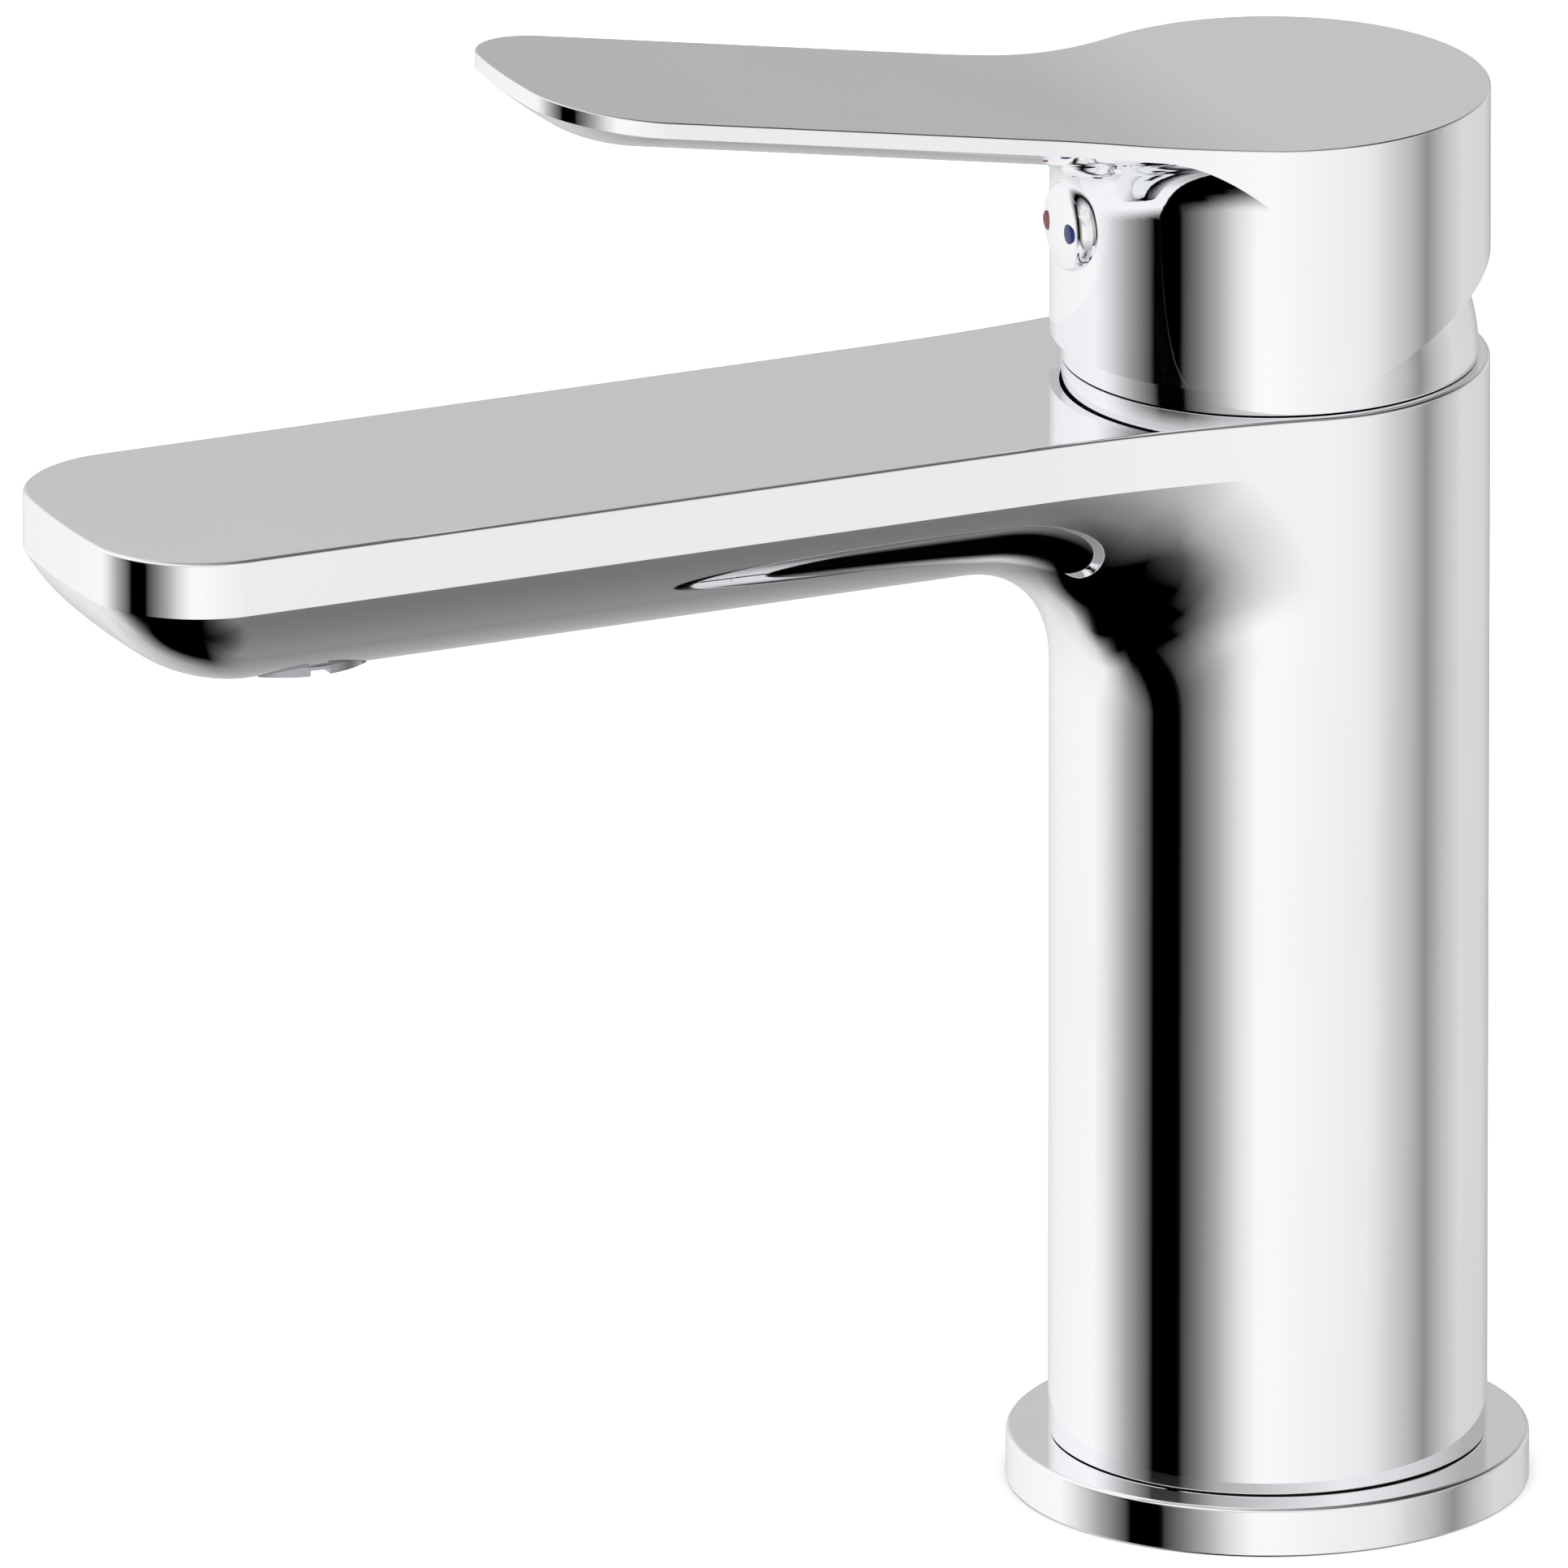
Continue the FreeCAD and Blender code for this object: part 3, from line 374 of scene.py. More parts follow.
def finish_mesh(bm, name, body, material, replaced, choose=None):
    """Makes the object, moves it with body and puts it in the place of the replaced nodes."""
    bmesh.ops.recalc_face_normals(bm, faces=bm.faces)
    mesh = bpy.data.meshes.new(name)
    bm.to_mesh(mesh)
    bm.free()
    mesh.polygons.foreach_set("use_smooth", [True] * len(mesh.polygons))
    mesh.set_sharp_from_angle(angle=math.radians(25.0))
    if choose is not None:
        exact_normals(mesh, choose)
    for vertex in mesh.vertices:
        vertex.co = vertex.co * MM
    mesh.materials.append(material)
    obj = bpy.data.objects.new(name, mesh)
    bpy.context.scene.collection.objects.link(obj)
    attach(obj, body)
    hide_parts(*replaced)
    return obj


def read_all(items, field, kind=float, width=1):
    """One field of every item, as an array with a row for each."""
    values = np.zeros(len(items) * width, dtype=kind)
    items.foreach_get(field, values)
    return values.reshape(-1, width) if width > 1 else values


def exact_normals(mesh, choose):
    """Sets each corner's normal from choose(points, face_centres, face_normals, current_normals)."""
    corner = read_all(mesh.loops, "vertex_index", int)
    coords = read_all(mesh.vertices, "co", width=3)
    totals = read_all(mesh.polygons, "loop_total", int)
    face_of = np.repeat(np.arange(len(totals)), totals)
    face_normal = read_all(mesh.polygons, "normal", width=3)[face_of]
    centre = read_all(mesh.polygons, "center", width=3)[face_of]
    current = read_all(mesh.corner_normals, "vector", width=3)
    normals = choose(coords[corner], centre, face_normal, current)
    mesh.normals_split_custom_set([tuple(n) for n in normals])


# ------------------------------------------------------------------ materials

def node_material(name):
    material = bpy.data.materials.new(name)
    material.use_nodes = True
    tree = material.node_tree
    tree.nodes.clear()
    shader = tree.nodes.new("ShaderNodeBsdfPrincipled")
    output = tree.nodes.new("ShaderNodeOutputMaterial")
    tree.links.new(shader.outputs["BSDF"], output.inputs["Surface"])
    return material, tree, shader


def noise_value(tree, scale, detail, low, high):
    """A number that wanders between low and high over the surface."""
    place = tree.nodes.new("ShaderNodeTexCoord")
    noise = tree.nodes.new("ShaderNodeTexNoise")
    noise.inputs["Scale"].default_value = scale
    noise.inputs["Detail"].default_value = detail
    spread = tree.nodes.new("ShaderNodeMapRange")
    spread.inputs["From Min"].default_value = 0.3
    spread.inputs["From Max"].default_value = 0.7
    spread.inputs["To Min"].default_value = low
    spread.inputs["To Max"].default_value = high
    tree.links.new(place.outputs["Object"], noise.inputs["Vector"])
    tree.links.new(noise.outputs["Fac"], spread.inputs["Value"])
    return spread.outputs["Result"]


def noise_colour(tree, scale, dark, light):
    factor = noise_value(tree, scale, 3.0, 0.0, 1.0)
    mix = tree.nodes.new("ShaderNodeMix")
    mix.data_type = "RGBA"
    mix.inputs["A"].default_value = (*dark, 1.0)
    mix.inputs["B"].default_value = (*light, 1.0)
    tree.links.new(factor, mix.inputs["Factor"])
    return mix.outputs["Result"]


def surface(name, dark, light, rough, metal=0.0, grain=60.0, bump=0.0, bump_scale=900.0):
    """A procedural finish: colour and roughness wander a little, and a fine grain can stand out."""
    material, tree, shader = node_material(name)
    shader.inputs["Metallic"].default_value = metal
    tree.links.new(noise_colour(tree, grain, dark, light), shader.inputs["Base Color"])
    tree.links.new(noise_value(tree, grain * 1.7, 4.0, rough[0], rough[1]), shader.inputs["Roughness"])
    if bump:
        height = noise_value(tree, bump_scale, 5.0, 0.0, 1.0)
        node = tree.nodes.new("ShaderNodeBump")
        node.inputs["Strength"].default_value = bump
        node.inputs["Distance"].default_value = 0.0002
        tree.links.new(height, node.inputs["Height"])
        tree.links.new(node.outputs["Normal"], shader.inputs["Normal"])
    return material


CHROME = surface("polished_chrome", (0.935, 0.938, 0.955), (0.965, 0.968, 0.985), (0.015, 0.04),
                 metal=1.0, grain=22.0)
RED = surface("index_red", (0.20, 0.006, 0.008), (0.26, 0.01, 0.012), (0.25, 0.35), grain=600.0)
BLUE = surface("index_blue", (0.006, 0.018, 0.15), (0.01, 0.028, 0.20), (0.25, 0.35), grain=600.0)
RUBBER = surface("black_rubber", (0.008, 0.008, 0.008), (0.02, 0.02, 0.02), (0.55, 0.75), bump=0.3)
PLASTIC = surface("cartridge_plastic", (0.70, 0.71, 0.70), (0.78, 0.79, 0.78), (0.35, 0.5), bump=0.15)
LIMIT = surface("limit_plastic", (0.6, 0.05, 0.04), (0.7, 0.08, 0.06), (0.35, 0.5), bump=0.15)
CERAMIC = surface("ceramic", (0.86, 0.85, 0.81), (0.93, 0.92, 0.89), (0.08, 0.16))
BRASS = surface("brass", (0.72, 0.50, 0.20), (0.80, 0.58, 0.26), (0.2, 0.35), metal=1.0, bump=0.2)
STEEL = surface("steel", (0.58, 0.58, 0.57), (0.68, 0.68, 0.67), (0.25, 0.4), metal=1.0, bump=0.2)
NOZZLE = surface("nozzle_chrome", (0.40, 0.41, 0.43), (0.48, 0.49, 0.51), (0.12, 0.2), metal=1.0)
AERATOR = surface("aerator_plastic", (0.42, 0.44, 0.47), (0.52, 0.54, 0.57), (0.35, 0.5), bump=0.15)

FINISHES = [
    (CHROME, ["body_casting", "base_flange", "dome_ring", "handle", "index_plug"]),
    (NOZZLE, ["aerator_housing"]),
    (RUBBER, ["base_gasket", "column_seal", "port_seals", "dome_o_ring", "aerator_washer"]),
    (PLASTIC, ["cartridge_base", "cartridge_housing", "cartridge_rotor", "disc_carrier"]),
    (LIMIT, ["hot_limit_ring"]),
    (CERAMIC, ["fixed_ceramic_disc", "moving_ceramic_disc"]),
    (BRASS, ["cartridge_nut"]),
    (STEEL, ["pivot_pin", "cartridge_stem", "handle_set_screw", "aerator_screen"]),
    (AERATOR, ["aerator_insert"]),
    (RED, ["hot_dot"]),
    (BLUE, ["cold_dot"])]
for finish, node_names in FINISHES:
    for node_name in node_names:
        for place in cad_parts[node_name].material_slots:
            place.material = finish


# ------------------------------------------------------------------ column and spout

def horizontal(field, points):
    """Unit outward normals of a loop, in plan."""
    return unit(field_normals(field, points) * np.array([1.0, 1.0, 0.0]))


def mesh_of(points, faces):
    bm = bmesh.new()
    verts = [bm.verts.new(p) for p in points]
    for face in faces:
        bm.faces.new([verts[i] for i in face])
    return bm


def cut_flat(bm, height, keep_below, field):
    """Cuts the mesh at a height and returns the ordered boundary, moved onto the surface."""
    everything = bm.verts[:] + bm.edges[:] + bm.faces[:]
    bmesh.ops.bisect_plane(bm, geom=everything, dist=WELD, plane_co=(0, 0, height), plane_no=(0, 0, 1),
                           clear_outer=keep_below, clear_inner=not keep_below)
    rim = [e for e in bm.edges if e.is_boundary and all(abs(v.co.z - height) < 1e-4 for v in e.verts)]
    loop = ordered_loop(bm, rim)
    places = np.array([v.co[:] for v in loop])
    places = settle(field, places, flat=np.ones(len(places), dtype=bool))
    for vert, place in zip(loop, places):
        vert.co = place
    return loop


def rounded_edge(bm, loop, field, radius, up, steps=5):
    """Quarter-round rings inward from a boundary loop; returns the last ring."""
    base = np.array([v.co[:] for v in loop])
    outward = horizontal(field, base)
    previous = loop
    for k in range(1, steps + 1):
        turn = QUARTER * k / steps
        ring = base - outward * radius * (1.0 - math.cos(turn))
        ring[:, 2] += up * radius * math.sin(turn)
        verts = add_loop(bm, ring)
        strip(bm, previous, verts)
        previous = verts
    return previous


def carved(bm, profile, centre):
    """The mesh less a turned outline of (radius, height) that stands at centre."""
    cutter = bmesh.new()
    loops = []
    for radius, height in profile[::-1]:
        loops.append(add_loop(cutter, circle(radius, height, ROUND, centre)))
    for first, second in zip(loops, loops[1:] + loops[:1]):
        strip(cutter, first, second)
    made = []
    for part in (bm, cutter):
        bmesh.ops.recalc_face_normals(part, faces=part.faces)
        mesh = bpy.data.meshes.new("carving")
        part.to_mesh(mesh)
        part.free()
        obj = bpy.data.objects.new("carving", mesh)
        bpy.context.scene.collection.objects.link(obj)
        made.append(obj)
    cut = made[0].modifiers.new("cut", "BOOLEAN")
    cut.operation = "DIFFERENCE"
    cut.solver = "EXACT"
    cut.object = made[1]
    shaped = made[0].evaluated_get(bpy.context.evaluated_depsgraph_get())
    result = bmesh.new()
    result.from_mesh(shaped.to_mesh())
    for obj in made:
        mesh = obj.data
        bpy.data.objects.remove(obj)
        bpy.data.meshes.remove(mesh)
    return result


def bored(bm, rim, walls):
    """Closes the flat inside rim down to a stepped bore of (radius, height)."""
    loops = [add_loop(bm, circle(radius, height, ROUND)) for radius, height in walls]
    fill_between(bm, [rim, loops[0]])
    for first, second in zip(loops, loops[1:]):
        strip(bm, first, second)
    bm.faces.new(loops[-1])


def body_normals(p, centre, face_normal, current):
    """Normals from the field on the outer skin, a quarter turn on the top rounding, flat on level faces."""
    exact = field_normals(spout_field, p + (centre - p) * NUDGE)
    skin = np.abs(spout_field(*p.T)) < ON_SKIN
    skin &= (p[:, 2] < TOP - BREAK + TINY) & (p[:, 2] > FOOT + FOOT_BREAK - TINY)
    skin &= (face_normal * exact).sum(axis=1) > 0.8
    rounding = (p[:, 2] >= TOP - BREAK + TINY) & (np.hypot(p[:, 0], p[:, 1]) > NUT_BORE + 1.0)
    rise = np.clip((p[:, 2] - TOP + BREAK) / BREAK, 0.0, 1.0)[:, None]
    outward = unit(exact * np.array([1.0, 1.0, 0.0]))
    curved = outward * np.sqrt(1.0 - rise * rise) + np.array([0.0, 0.0, 1.0]) * rise
    level = np.abs(face_normal[:, 2]) > 0.9999
    result = current.copy()
    result[skin] = exact[skin]
    result[rounding] = curved[rounding]
    result[level] = face_normal[level]
    return result


def build_body():
    low = (-COLUMN - 1.4, -SPOUT["tip"] - 1.6, FOOT - 1.6)
    high = (COLUMN + 1.4, COLUMN + 1.4, TOP + 1.2)
    points, faces = surface_net(spout_field, low, high, BODY_NET["step"])
    points = snap_creases(spout_parts, settle(spout_field, points), BODY_NET["snap"])
    bm = mesh_of(points, faces)
    top_rim = cut_flat(bm, TOP - BREAK, True, spout_field)
    foot_rim = cut_flat(bm, FOOT + FOOT_BREAK, False, spout_field)
    top_ring = rounded_edge(bm, top_rim, spout_field, BREAK, 1.0)
    foot_ring = rounded_edge(bm, foot_rim, spout_field, FOOT_BREAK, -1.0, 3)
    bored(bm, top_ring, [(NUT_BORE, TOP), (NUT_BORE, SHOULDER), (POCKET, SHOULDER), (POCKET, SEAT)])
    bored(bm, foot_ring, [(POCKET, FOOT), (POCKET, FOOT_ROOF)])
    middle, below = 0.05, SPOT_FACE - 7.4
    recess = [(AERATOR_BORE, SPOT_FACE), (AERATOR_BORE, AERATOR_ROOF), (middle, AERATOR_ROOF),
              (middle, below), (SPOT_RAD, below), (SPOT_RAD, SPOT_FACE)]
    bm = carved(bm, recess, (0.0, -AERATOR_OUT))
    finish_mesh(bm, "body_skin", "column", CHROME, ["body_casting"], body_normals)


# ------------------------------------------------------------------ handle

def unlean(points):
    """From the frame in which the handle's top is flat to the real one."""
    real = points.copy()
    real[:, 2] += handle_top(real[:, 1]) - DRUM_TOP
    return real


def leaning_parts(x, y, z):
    return handle_parts(x, y, z + handle_top(y) - DRUM_TOP)


def leaning_field(x, y, z):
    return np.maximum(*leaning_parts(x, y, z))


def bend_lines(bm, cap):
    """Cuts the flat cap across, so that it can follow the change of slope."""
    first, last = -(LEVER_BEND + LEVER_BLEND), -(LEVER_BEND - LEVER_BLEND)
    for y in np.arange(first, last + 0.01, 0.75):
        verts = {v for face in cap if face.is_valid for v in face.verts}
        edges = {e for face in cap if face.is_valid for e in face.edges}
        cut = bmesh.ops.bisect_plane(bm, geom=list(verts) + list(edges) + [f for f in cap if f.is_valid],
                                     dist=WELD, plane_co=(0, y, 0), plane_no=(0, 1, 0))
        cap = [item for item in cut["geom"] if isinstance(item, bmesh.types.BMFace)]


def hollowed(bm, skirt, steps=8):
    """From the skirt up the inside of a sphere to a level ceiling."""
    outer = np.array([v.co[:] for v in skirt])
    outer[:, :2] *= (COLUMN / np.hypot(outer[:, 0], outer[:, 1]))[:, None]
    for vert, place in zip(skirt, outer):
        vert.co = place
    previous = skirt
    start = outer[:, 2] - TOP
    for k in range(steps + 1):
        level = start + (HOLLOW_HIGH - start) * k / steps
        radius = np.sqrt(HOLLOW * HOLLOW - level * level)
        ring = outer.copy()
        ring[:, :2] *= (radius / COLUMN)[:, None]
        ring[:, 2] = TOP + level
        verts = add_loop(bm, ring)
        strip(bm, previous, verts)
        previous = verts
    bm.faces.new(previous)


def handle_normals(p, centre, face_normal, current):
    """Normals from the field on the skin, from the top's slope on the top, between them on the rounding."""
    y = p[:, 1]
    drop = (handle_top(y + FINE) - handle_top(y - FINE)) / (2.0 * FINE)
    top = unit(np.stack([np.zeros_like(y), -drop, np.ones_like(y)], axis=1))
    exact = field_normals(handle_field, p + (centre - p) * NUDGE)
    depth = handle_top(y) - p[:, 2]
    skin = (np.abs(handle_field(*p.T)) < ON_SKIN) & ((face_normal * exact).sum(axis=1) > 0.7)
    skin &= depth > HANDLE_BREAK - TINY
    rounding = (depth <= HANDLE_BREAK - TINY) & (p[:, 2] > TOP + 20.0)
    rise = np.clip(1.0 - depth / HANDLE_BREAK, 0.0, 1.0)[:, None]
    curved = unit(exact * np.sqrt(1.0 - rise * rise) + top * rise)
    flat = ((face_normal * top).sum(axis=1) > 0.9995) & (depth < 0.01)
    result = current.copy()
    result[skin] = exact[skin]
    result[rounding] = curved[rounding]
    result[flat] = top[flat]
    return result


def build_handle():
    low = (-COLUMN - 0.8, -LEVER["tip"] - 1.4, TOP + 0.4)
    high = (COLUMN + 0.8, COLUMN + 0.8, DRUM_TOP + 0.9)
    points, faces = surface_net(leaning_field, low, high, HANDLE_NET["step"])
    points = snap_creases(leaning_parts, settle(leaning_field, points), HANDLE_NET["snap"])
    bm = mesh_of(points, faces)
    rim = cut_flat(bm, DRUM_TOP - HANDLE_BREAK, True, leaning_field)
    ring = rounded_edge(bm, rim, leaning_field, HANDLE_BREAK, 1.0, 3)
    bend_lines(bm, fill_between(bm, [ring]))
    for vert, place in zip(list(bm.verts), unlean(np.array([v.co[:] for v in bm.verts]))):
        vert.co = place
    # level skirt in front, cut sloping up to the rear
    for normal in ((0.0, 0.0, 1.0), (0.0, -SKIRT_SLOPE, 1.0)):
        bmesh.ops.bisect_plane(bm, geom=bm.verts[:] + bm.edges[:] + bm.faces[:], dist=WELD,
                               plane_co=(0, 0, TOP + SKIRT), plane_no=normal, clear_inner=True)
    hollowed(bm, ordered_loop(bm, [e for e in bm.edges if e.is_boundary]))
    finish_mesh(bm, "handle_skin", "lever", CHROME, ["handle"], handle_normals)


# ------------------------------------------------------------------ turned pieces

def arc_points(centre, radius, start_deg, end_deg, steps):
    turns = np.radians(np.linspace(start_deg, end_deg, steps + 1))
    return [(centre[0] + radius * math.cos(t), centre[1] + radius * math.sin(t)) for t in turns]


def lathe(name, profile, body, material, replaced, count=192, place=None, closed=True):
    """Turns a closed outline of (radius, height) about Z.  place maps points into the frame."""
    bm = bmesh.new()
    loops = []
    for radius, height in profile:
        ring = circle(radius, height, count)
        if place is not None:
            ring = place(ring)
        loops.append(add_loop(bm, ring))
    pairs = list(zip(loops, loops[1:])) + ([(loops[-1], loops[0])] if closed else [])
    for first, second in pairs:
        strip(bm, first, second)
    if not closed:
        bm.faces.new(loops[0])
        bm.faces.new(loops[-1])
    obj = finish_mesh(bm, name, body, material, replaced)
    weights = obj.modifiers.new("weights", "WEIGHTED_NORMAL")
    weights.keep_sharp = True
    weights.weight = 90
    return obj


def build_flange():
    rad, high, lower_break = 27.4, 5.25, 0.2
    bore, collar, collar_high = 17.0, 18.4, 8.75
    groove_in, groove_out, groove_high = 21.4, 25.6, 1.5
    under = [(bore, 0.0), (groove_in, 0.0), (groove_in, groove_high), (groove_out, groove_high),
             (groove_out, 0.0), (rad - lower_break, 0.0), (rad, lower_break)]
    edge = arc_points((rad - BREAK, high - BREAK), BREAK, 0.0, 90.0, 6)
    over = [(collar, high), (collar, collar_high), (bore, collar_high)]
    lathe("flange_skin", under + edge + over, "column", CHROME, ["base_flange"])


def elevation(height, radius):
    """Angle, in degrees, at which a circle about the pivot reaches a height above it."""
    return math.degrees(math.asin(height / radius))


def build_cover():
    """The ball-shaped ring below the handle, with the groove of its O-ring."""
    ball, wall, gap, high = 21.83, 1.2, 0.1, 9.5
    bore, spigot, groove, lip, ledge = 16.2, 18.8, 17.4, 21.75, 2.0
    inner = ball - wall
    below = [(bore, TOP - 3.5), (spigot, TOP - 3.5), (spigot, TOP - 2.45), (groove, TOP - 2.45),
             (groove, TOP - 0.75), (spigot, TOP - 0.75), (spigot, TOP + gap), (lip, TOP + gap)]
    outside = arc_points((0.0, TOP), ball, elevation(gap + 0.05, ball), elevation(high, ball), 24)
    inside = arc_points((0.0, TOP), inner, elevation(high, inner), elevation(ledge, inner), 16)
    lathe("cover_skin", below + outside + inside + [(bore, TOP + ledge)],
          "column", CHROME, ["dome_ring"])


def build_plug():
    """The plug in the front of the drum and the two dots on its domed face."""
    seat, height, stem, stem_deep = 21.5, 140.3, 3.15, 3.0
    rad, rim, dome, top = 4.85, 1.1, 17.8, 3.0
    dot, dot_back, aside = 1.05, 2.2, 2.6

    def forwards(ring):
        return np.stack([ring[:, 0], -(seat + ring[:, 2]), height + ring[:, 1]], axis=1)

    def domed(radius):
        """Height of the plug's face."""
        return top - dome + math.sqrt(dome * dome - radius * radius)

    shoulder = domed(rad - rim) - rim
    edge = arc_points((rad - rim, shoulder), rim, 0.0, 78.0, 8)
    face = [(r, domed(r)) for r in np.linspace(rad - rim, 0.2, 14)]
    lathe("plug_skin", [(stem, -stem_deep), (stem, 0.0), (rad, 0.0), (rad, shoulder)] + edge + face,
          "lever", CHROME, ["index_plug"], count=96, place=forwards, closed=False)

    pillow = [(dot, 0.01), (0.98, 0.06), (0.8, 0.1), (0.4, 0.12), (0.05, 0.13)]
    outline = [(dot, dot_back)] + [(r, domed(aside) + above) for r, above in pillow]
    for name, node, side, finish, slot in (("hot_mark", "hot_dot", -aside, RED, "hot_red"),
                                           ("cold_mark", "cold_dot", aside, BLUE, "cold_blue")):
        def beside(ring, side=side):
            return forwards(ring + np.array([side, 0.0, 0.0]))
        lathe(name, outline, "lever", finish, [node], count=48, place=beside, closed=False)


build_body()
build_handle()
build_flange()
build_cover()
build_plug()


# ------------------------------------------------------------------ floor, light and camera

CAMERA_AZIMUTH = math.radians(65.7)
CAMERA_RISE = math.radians(18.5)
FRAME_WIDE = 0.1631       # width of the view at the object, in metres
AIM = (-0.0506, 0.0720, 0.05)    # middle of the view: right, up and towards the camera, in metres
LENS = 1700.0             # very long, as the photo shows almost no perspective
SENSOR = 36.0


def build_floor():
    bm = bmesh.new()
    half = 3.0
    for x, y in ((-half, -half), (half, -half), (half, half), (-half, half)):
        bm.verts.new((x, y, 0.0))
    bm.faces.new(bm.verts[:])
    mesh = bpy.data.meshes.new("floor")
    bm.to_mesh(mesh)
    bm.free()
    pale = surface("pale_floor", (0.90, 0.90, 0.90), (0.93, 0.93, 0.93), (0.8, 0.9), grain=4.0)
    mesh.materials.append(pale)
    floor = bpy.data.objects.new("floor", mesh)
    bpy.context.scene.collection.objects.link(floor)
    floor.visible_glossy = False


def ramp(tree, factor, stops):
    node = tree.nodes.new("ShaderNodeValToRGB")
    node.color_ramp.interpolation = "LINEAR"
    elements = node.color_ramp.elements
    while len(elements) > 1:
        elements.remove(elements[-1])
    for k, (place, value) in enumerate(stops):
        stop = elements[0] if k == 0 else elements.new(place)
        stop.position = place
        stop.color = (value, value, value, 1.0)
    tree.links.new(factor, node.inputs["Fac"])
    return node.outputs["Color"]


# brightness round the object at the height its upright walls mirror: degrees from the front (right
# positive), value
STRIPED = [(-180, 0.60), (-168, 0.80), (-150, 0.91), (-130, 0.95), (-105, 0.98), (-95, 0.80), (-80, 0.38),
           (-70, 0.17), (-65.5, 0.07), (-64, 0.0), (-48, 0.0), (-46.5, 0.05), (-37, 0.21), (-27, 0.43),
           (-17, 0.75), (-7, 0.98), (0, 1.0), (20, 0.94), (40, 0.90), (52, 0.86), (58, 0.80), (66, 0.67),
           (78, 0.52), (90, 0.29), (104, 0.54), (120, 0.72), (150, 0.68), (168, 0.50), (180, 0.60)]

# brightness round the object at every height that its surfaces mirror: height, then such a list
RINGS = [
    (-1.0, [(0, 0.0)]),
    (-0.92, [(-180, 0.0), (4, 0.0), (24, 0.10), (48, 0.20), (66, 0.20), (80, 0.17), (123, 0.23),
             (150, 0.25), (168, 0.14), (180, 0.0)]),
    (-0.80, [(-180, 0.25), (-160, 0.50), (-135, 0.66), (-118, 0.36), (-104, 0.03), (-98, 0.0),
             (-14, 0.0), (4, 0.08), (24, 0.29), (44, 0.38), (60, 0.32), (76, 0.21), (123, 0.25),
             (150, 0.31), (168, 0.31), (180, 0.25)]),
    (-0.70, [(-180, 0.36), (-160, 0.68), (-132, 0.80), (-108, 0.70), (-92, 0.30), (-82, 0.06),
             (-76, 0.0), (-24, 0.0), (-8, 0.14), (12, 0.42), (32, 0.52), (60, 0.42), (78, 0.28),
             (104, 0.28), (123, 0.34), (150, 0.37), (168, 0.37), (180, 0.36)]),
    (-0.59, [(-180, 0.45), (-161, 0.80), (-130, 0.92), (-100, 0.92), (-85, 0.55), (-75, 0.20),
             (-67, 0.0), (-34, 0.0), (-22, 0.15), (-6, 0.42), (10, 0.60), (30, 0.62), (60, 0.50),
             (78, 0.34), (90, 0.26), (120, 0.40), (150, 0.42), (168, 0.42), (180, 0.45)]),
    (-0.32, STRIPED),
    (0.16, [(-180, 0.46), (-172, 0.50)] + STRIPED[2:-2] + [(168, 0.47), (180, 0.46)]),
    (0.32, [(-180, 0.57), (-172, 0.62)] + STRIPED[2:14]
     + [(40, 0.9), (70, 0.8), (105, 0.60), (125, 0.48), (156, 0.46), (170, 0.53), (180, 0.57)]),
    (0.55, [(-180, 0.60), (-165, 0.80), (-140, 1.0), (0, 1.0), (40, 0.9), (60, 0.35), (90, 0.04),
            (125, 0.06), (150, 0.30), (170, 0.50), (180, 0.60)]),
    (0.86, [(-180, 0.40), (-150, 0.80), (-120, 1.0), (-30, 0.9), (10, 0.5), (40, 0.06),
            (150, 0.03), (180, 0.40)]),
    (1.0, [(0, 0.35)])]


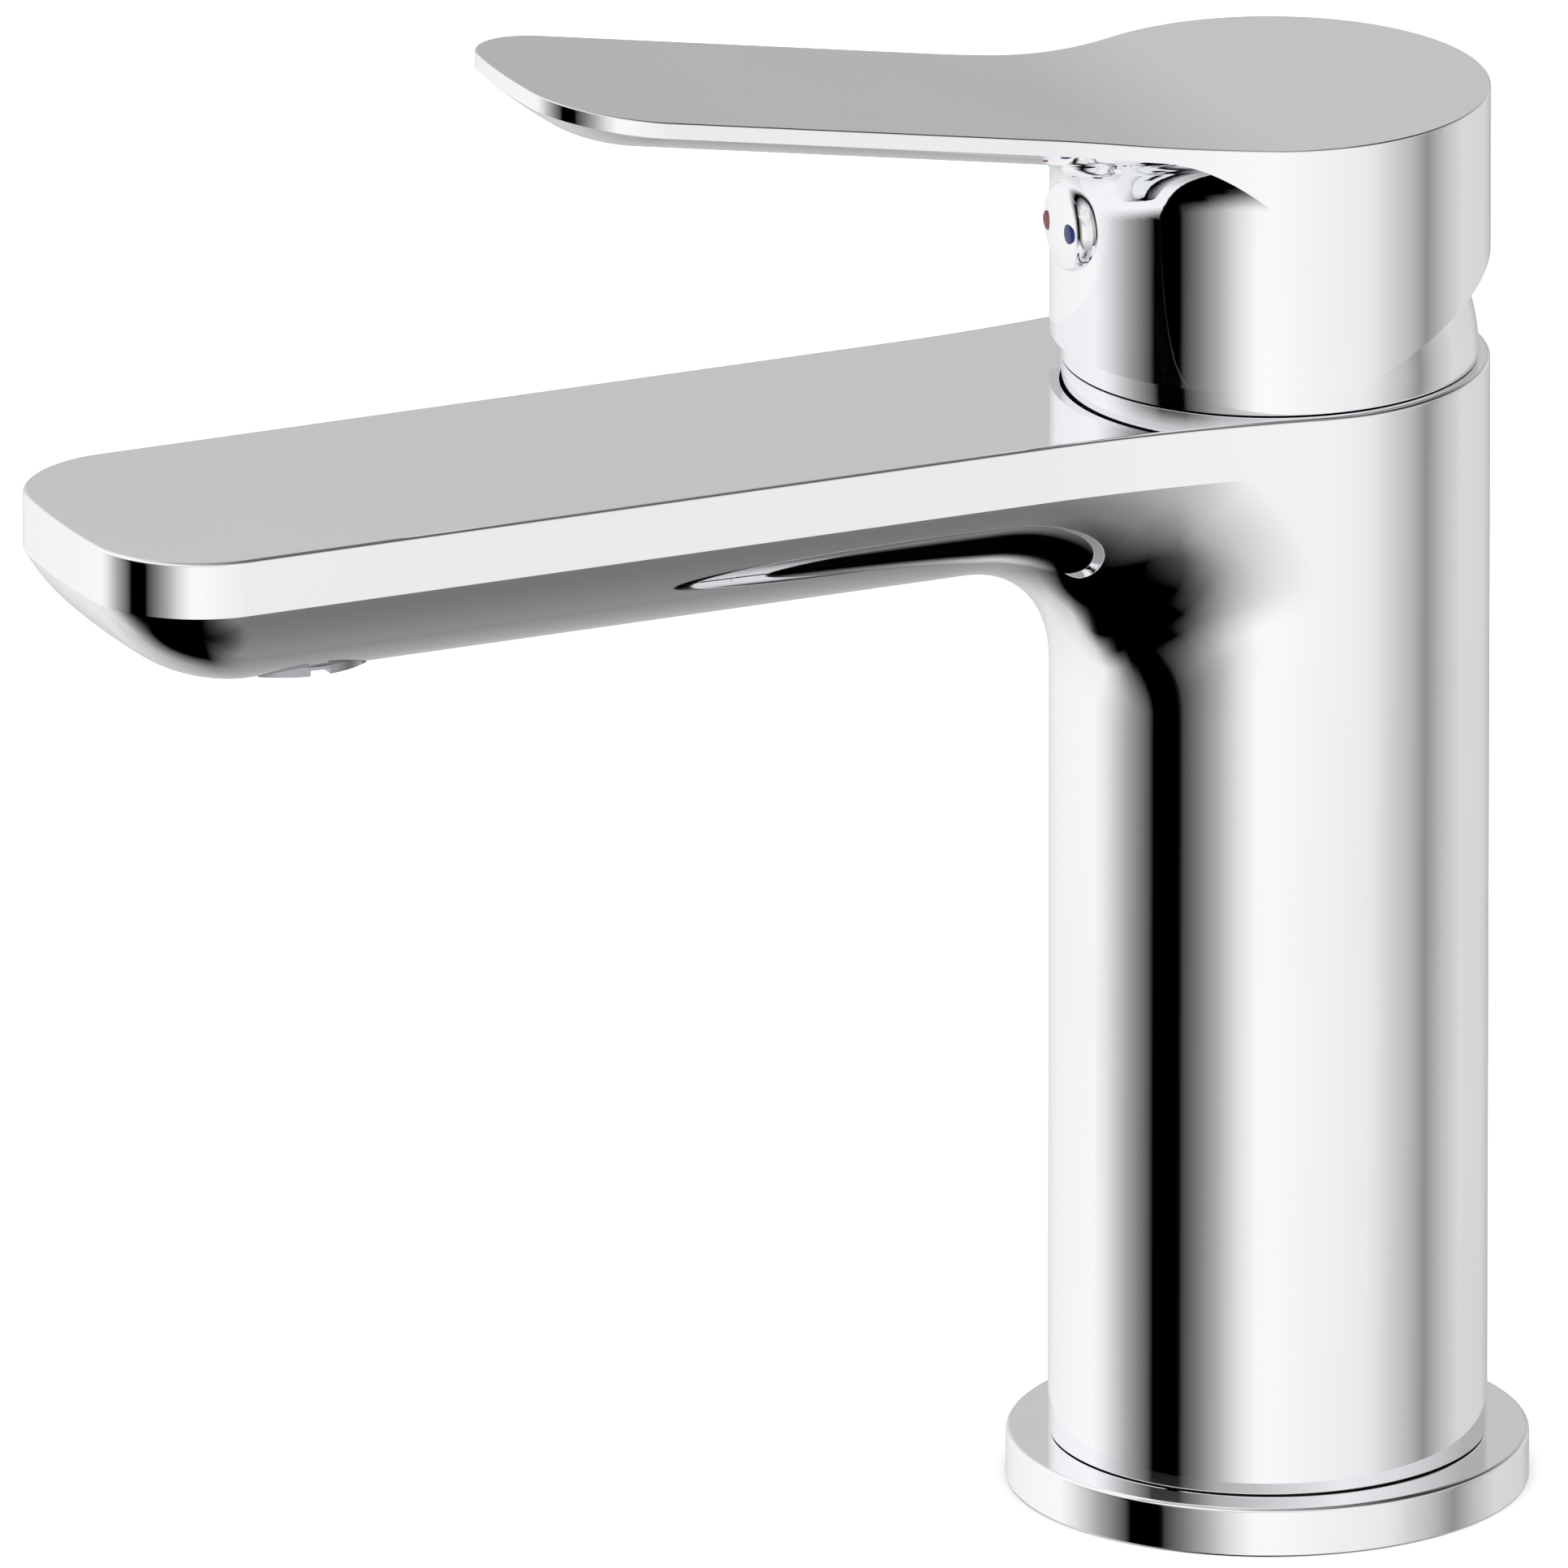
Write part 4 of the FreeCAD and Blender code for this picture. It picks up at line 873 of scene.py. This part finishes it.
def build_studio():
    """A soft white studio with one dark upright strip and a dim floor, as polished chrome shows it."""
    world = bpy.data.worlds.new("studio")
    bpy.context.scene.world = world
    world.use_nodes = True
    tree = world.node_tree
    tree.nodes.clear()
    place = tree.nodes.new("ShaderNodeTexCoord")
    parts = []
    for axis in ((math.sin(CAMERA_AZIMUTH), -math.cos(CAMERA_AZIMUTH), 0.0),
                 (math.cos(CAMERA_AZIMUTH), math.sin(CAMERA_AZIMUTH), 0.0), (0.0, 0.0, 1.0)):
        dot = tree.nodes.new("ShaderNodeVectorMath")
        dot.operation = "DOT_PRODUCT"
        dot.inputs[1].default_value = axis
        tree.links.new(place.outputs["Generated"], dot.inputs[0])
        parts.append(dot.outputs["Value"])
    turn = tree.nodes.new("ShaderNodeMath")
    turn.operation = "ARCTAN2"
    tree.links.new(parts[1], turn.inputs[0])
    tree.links.new(parts[0], turn.inputs[1])
    around = tree.nodes.new("ShaderNodeMapRange")
    around.inputs["From Min"].default_value = -math.pi
    around.inputs["From Max"].default_value = math.pi
    tree.links.new(turn.outputs["Value"], around.inputs["Value"])
    colour, below = None, None
    for high, stops in RINGS:
        ring = ramp(tree, around.outputs["Result"], [((a + 180.0) / 360.0, v) for a, v in stops])
        if colour is None:
            colour, below = ring, high
            continue
        share = tree.nodes.new("ShaderNodeMapRange")
        share.inputs["From Min"].default_value = below
        share.inputs["From Max"].default_value = high
        tree.links.new(parts[2], share.inputs["Value"])
        mix = tree.nodes.new("ShaderNodeMix")
        mix.data_type = "RGBA"
        tree.links.new(share.outputs["Result"], mix.inputs["Factor"])
        tree.links.new(colour, mix.inputs["A"])
        tree.links.new(ring, mix.inputs["B"])
        colour, below = mix.outputs["Result"], high

    seen = tree.nodes.new("ShaderNodeLightPath")
    choose = tree.nodes.new("ShaderNodeMix")
    choose.data_type = "RGBA"
    choose.inputs["B"].default_value = (1.0, 1.0, 1.0, 1.0)
    plain = tree.nodes.new("ShaderNodeMath")
    plain.operation = "MAXIMUM"
    tree.links.new(seen.outputs["Is Camera Ray"], plain.inputs[0])
    tree.links.new(seen.outputs["Is Diffuse Ray"], plain.inputs[1])
    tree.links.new(plain.outputs["Value"], choose.inputs["Factor"])
    tree.links.new(colour, choose.inputs["A"])
    back = tree.nodes.new("ShaderNodeBackground")
    tree.links.new(choose.outputs["Result"], back.inputs["Color"])
    output = tree.nodes.new("ShaderNodeOutputWorld")
    tree.links.new(back.outputs["Background"], output.inputs["Surface"])

    light = bpy.data.lights.new("soft_top", "SUN")
    light.energy = 2.2
    light.angle = math.radians(60.0)
    lamp = bpy.data.objects.new("soft_top", light)
    lamp.visible_glossy = False
    lamp.rotation_euler = (math.radians(12.0), math.radians(10.0), 0.0)
    bpy.context.scene.collection.objects.link(lamp)


def build_camera():
    a, e = CAMERA_AZIMUTH, CAMERA_RISE
    back = Vector((math.sin(a) * math.cos(e), -math.cos(a) * math.cos(e), math.sin(e)))
    right = Vector((math.cos(a), math.sin(a), 0.0))
    up = back.cross(right)
    aim = right * AIM[0] + up * AIM[1] + back * AIM[2]
    data = bpy.data.cameras.new("camera")
    data.lens = LENS
    data.sensor_width = SENSOR
    data.clip_end = 60.0
    camera = bpy.data.objects.new("camera", data)
    camera.location = aim + back * (FRAME_WIDE * LENS / SENSOR)
    camera.rotation_euler = back.to_track_quat("Z", "Y").to_euler()
    bpy.context.scene.collection.objects.link(camera)
    bpy.context.scene.camera = camera
    bpy.context.scene.view_settings.view_transform = "Standard"


build_floor()
build_studio()
build_camera()
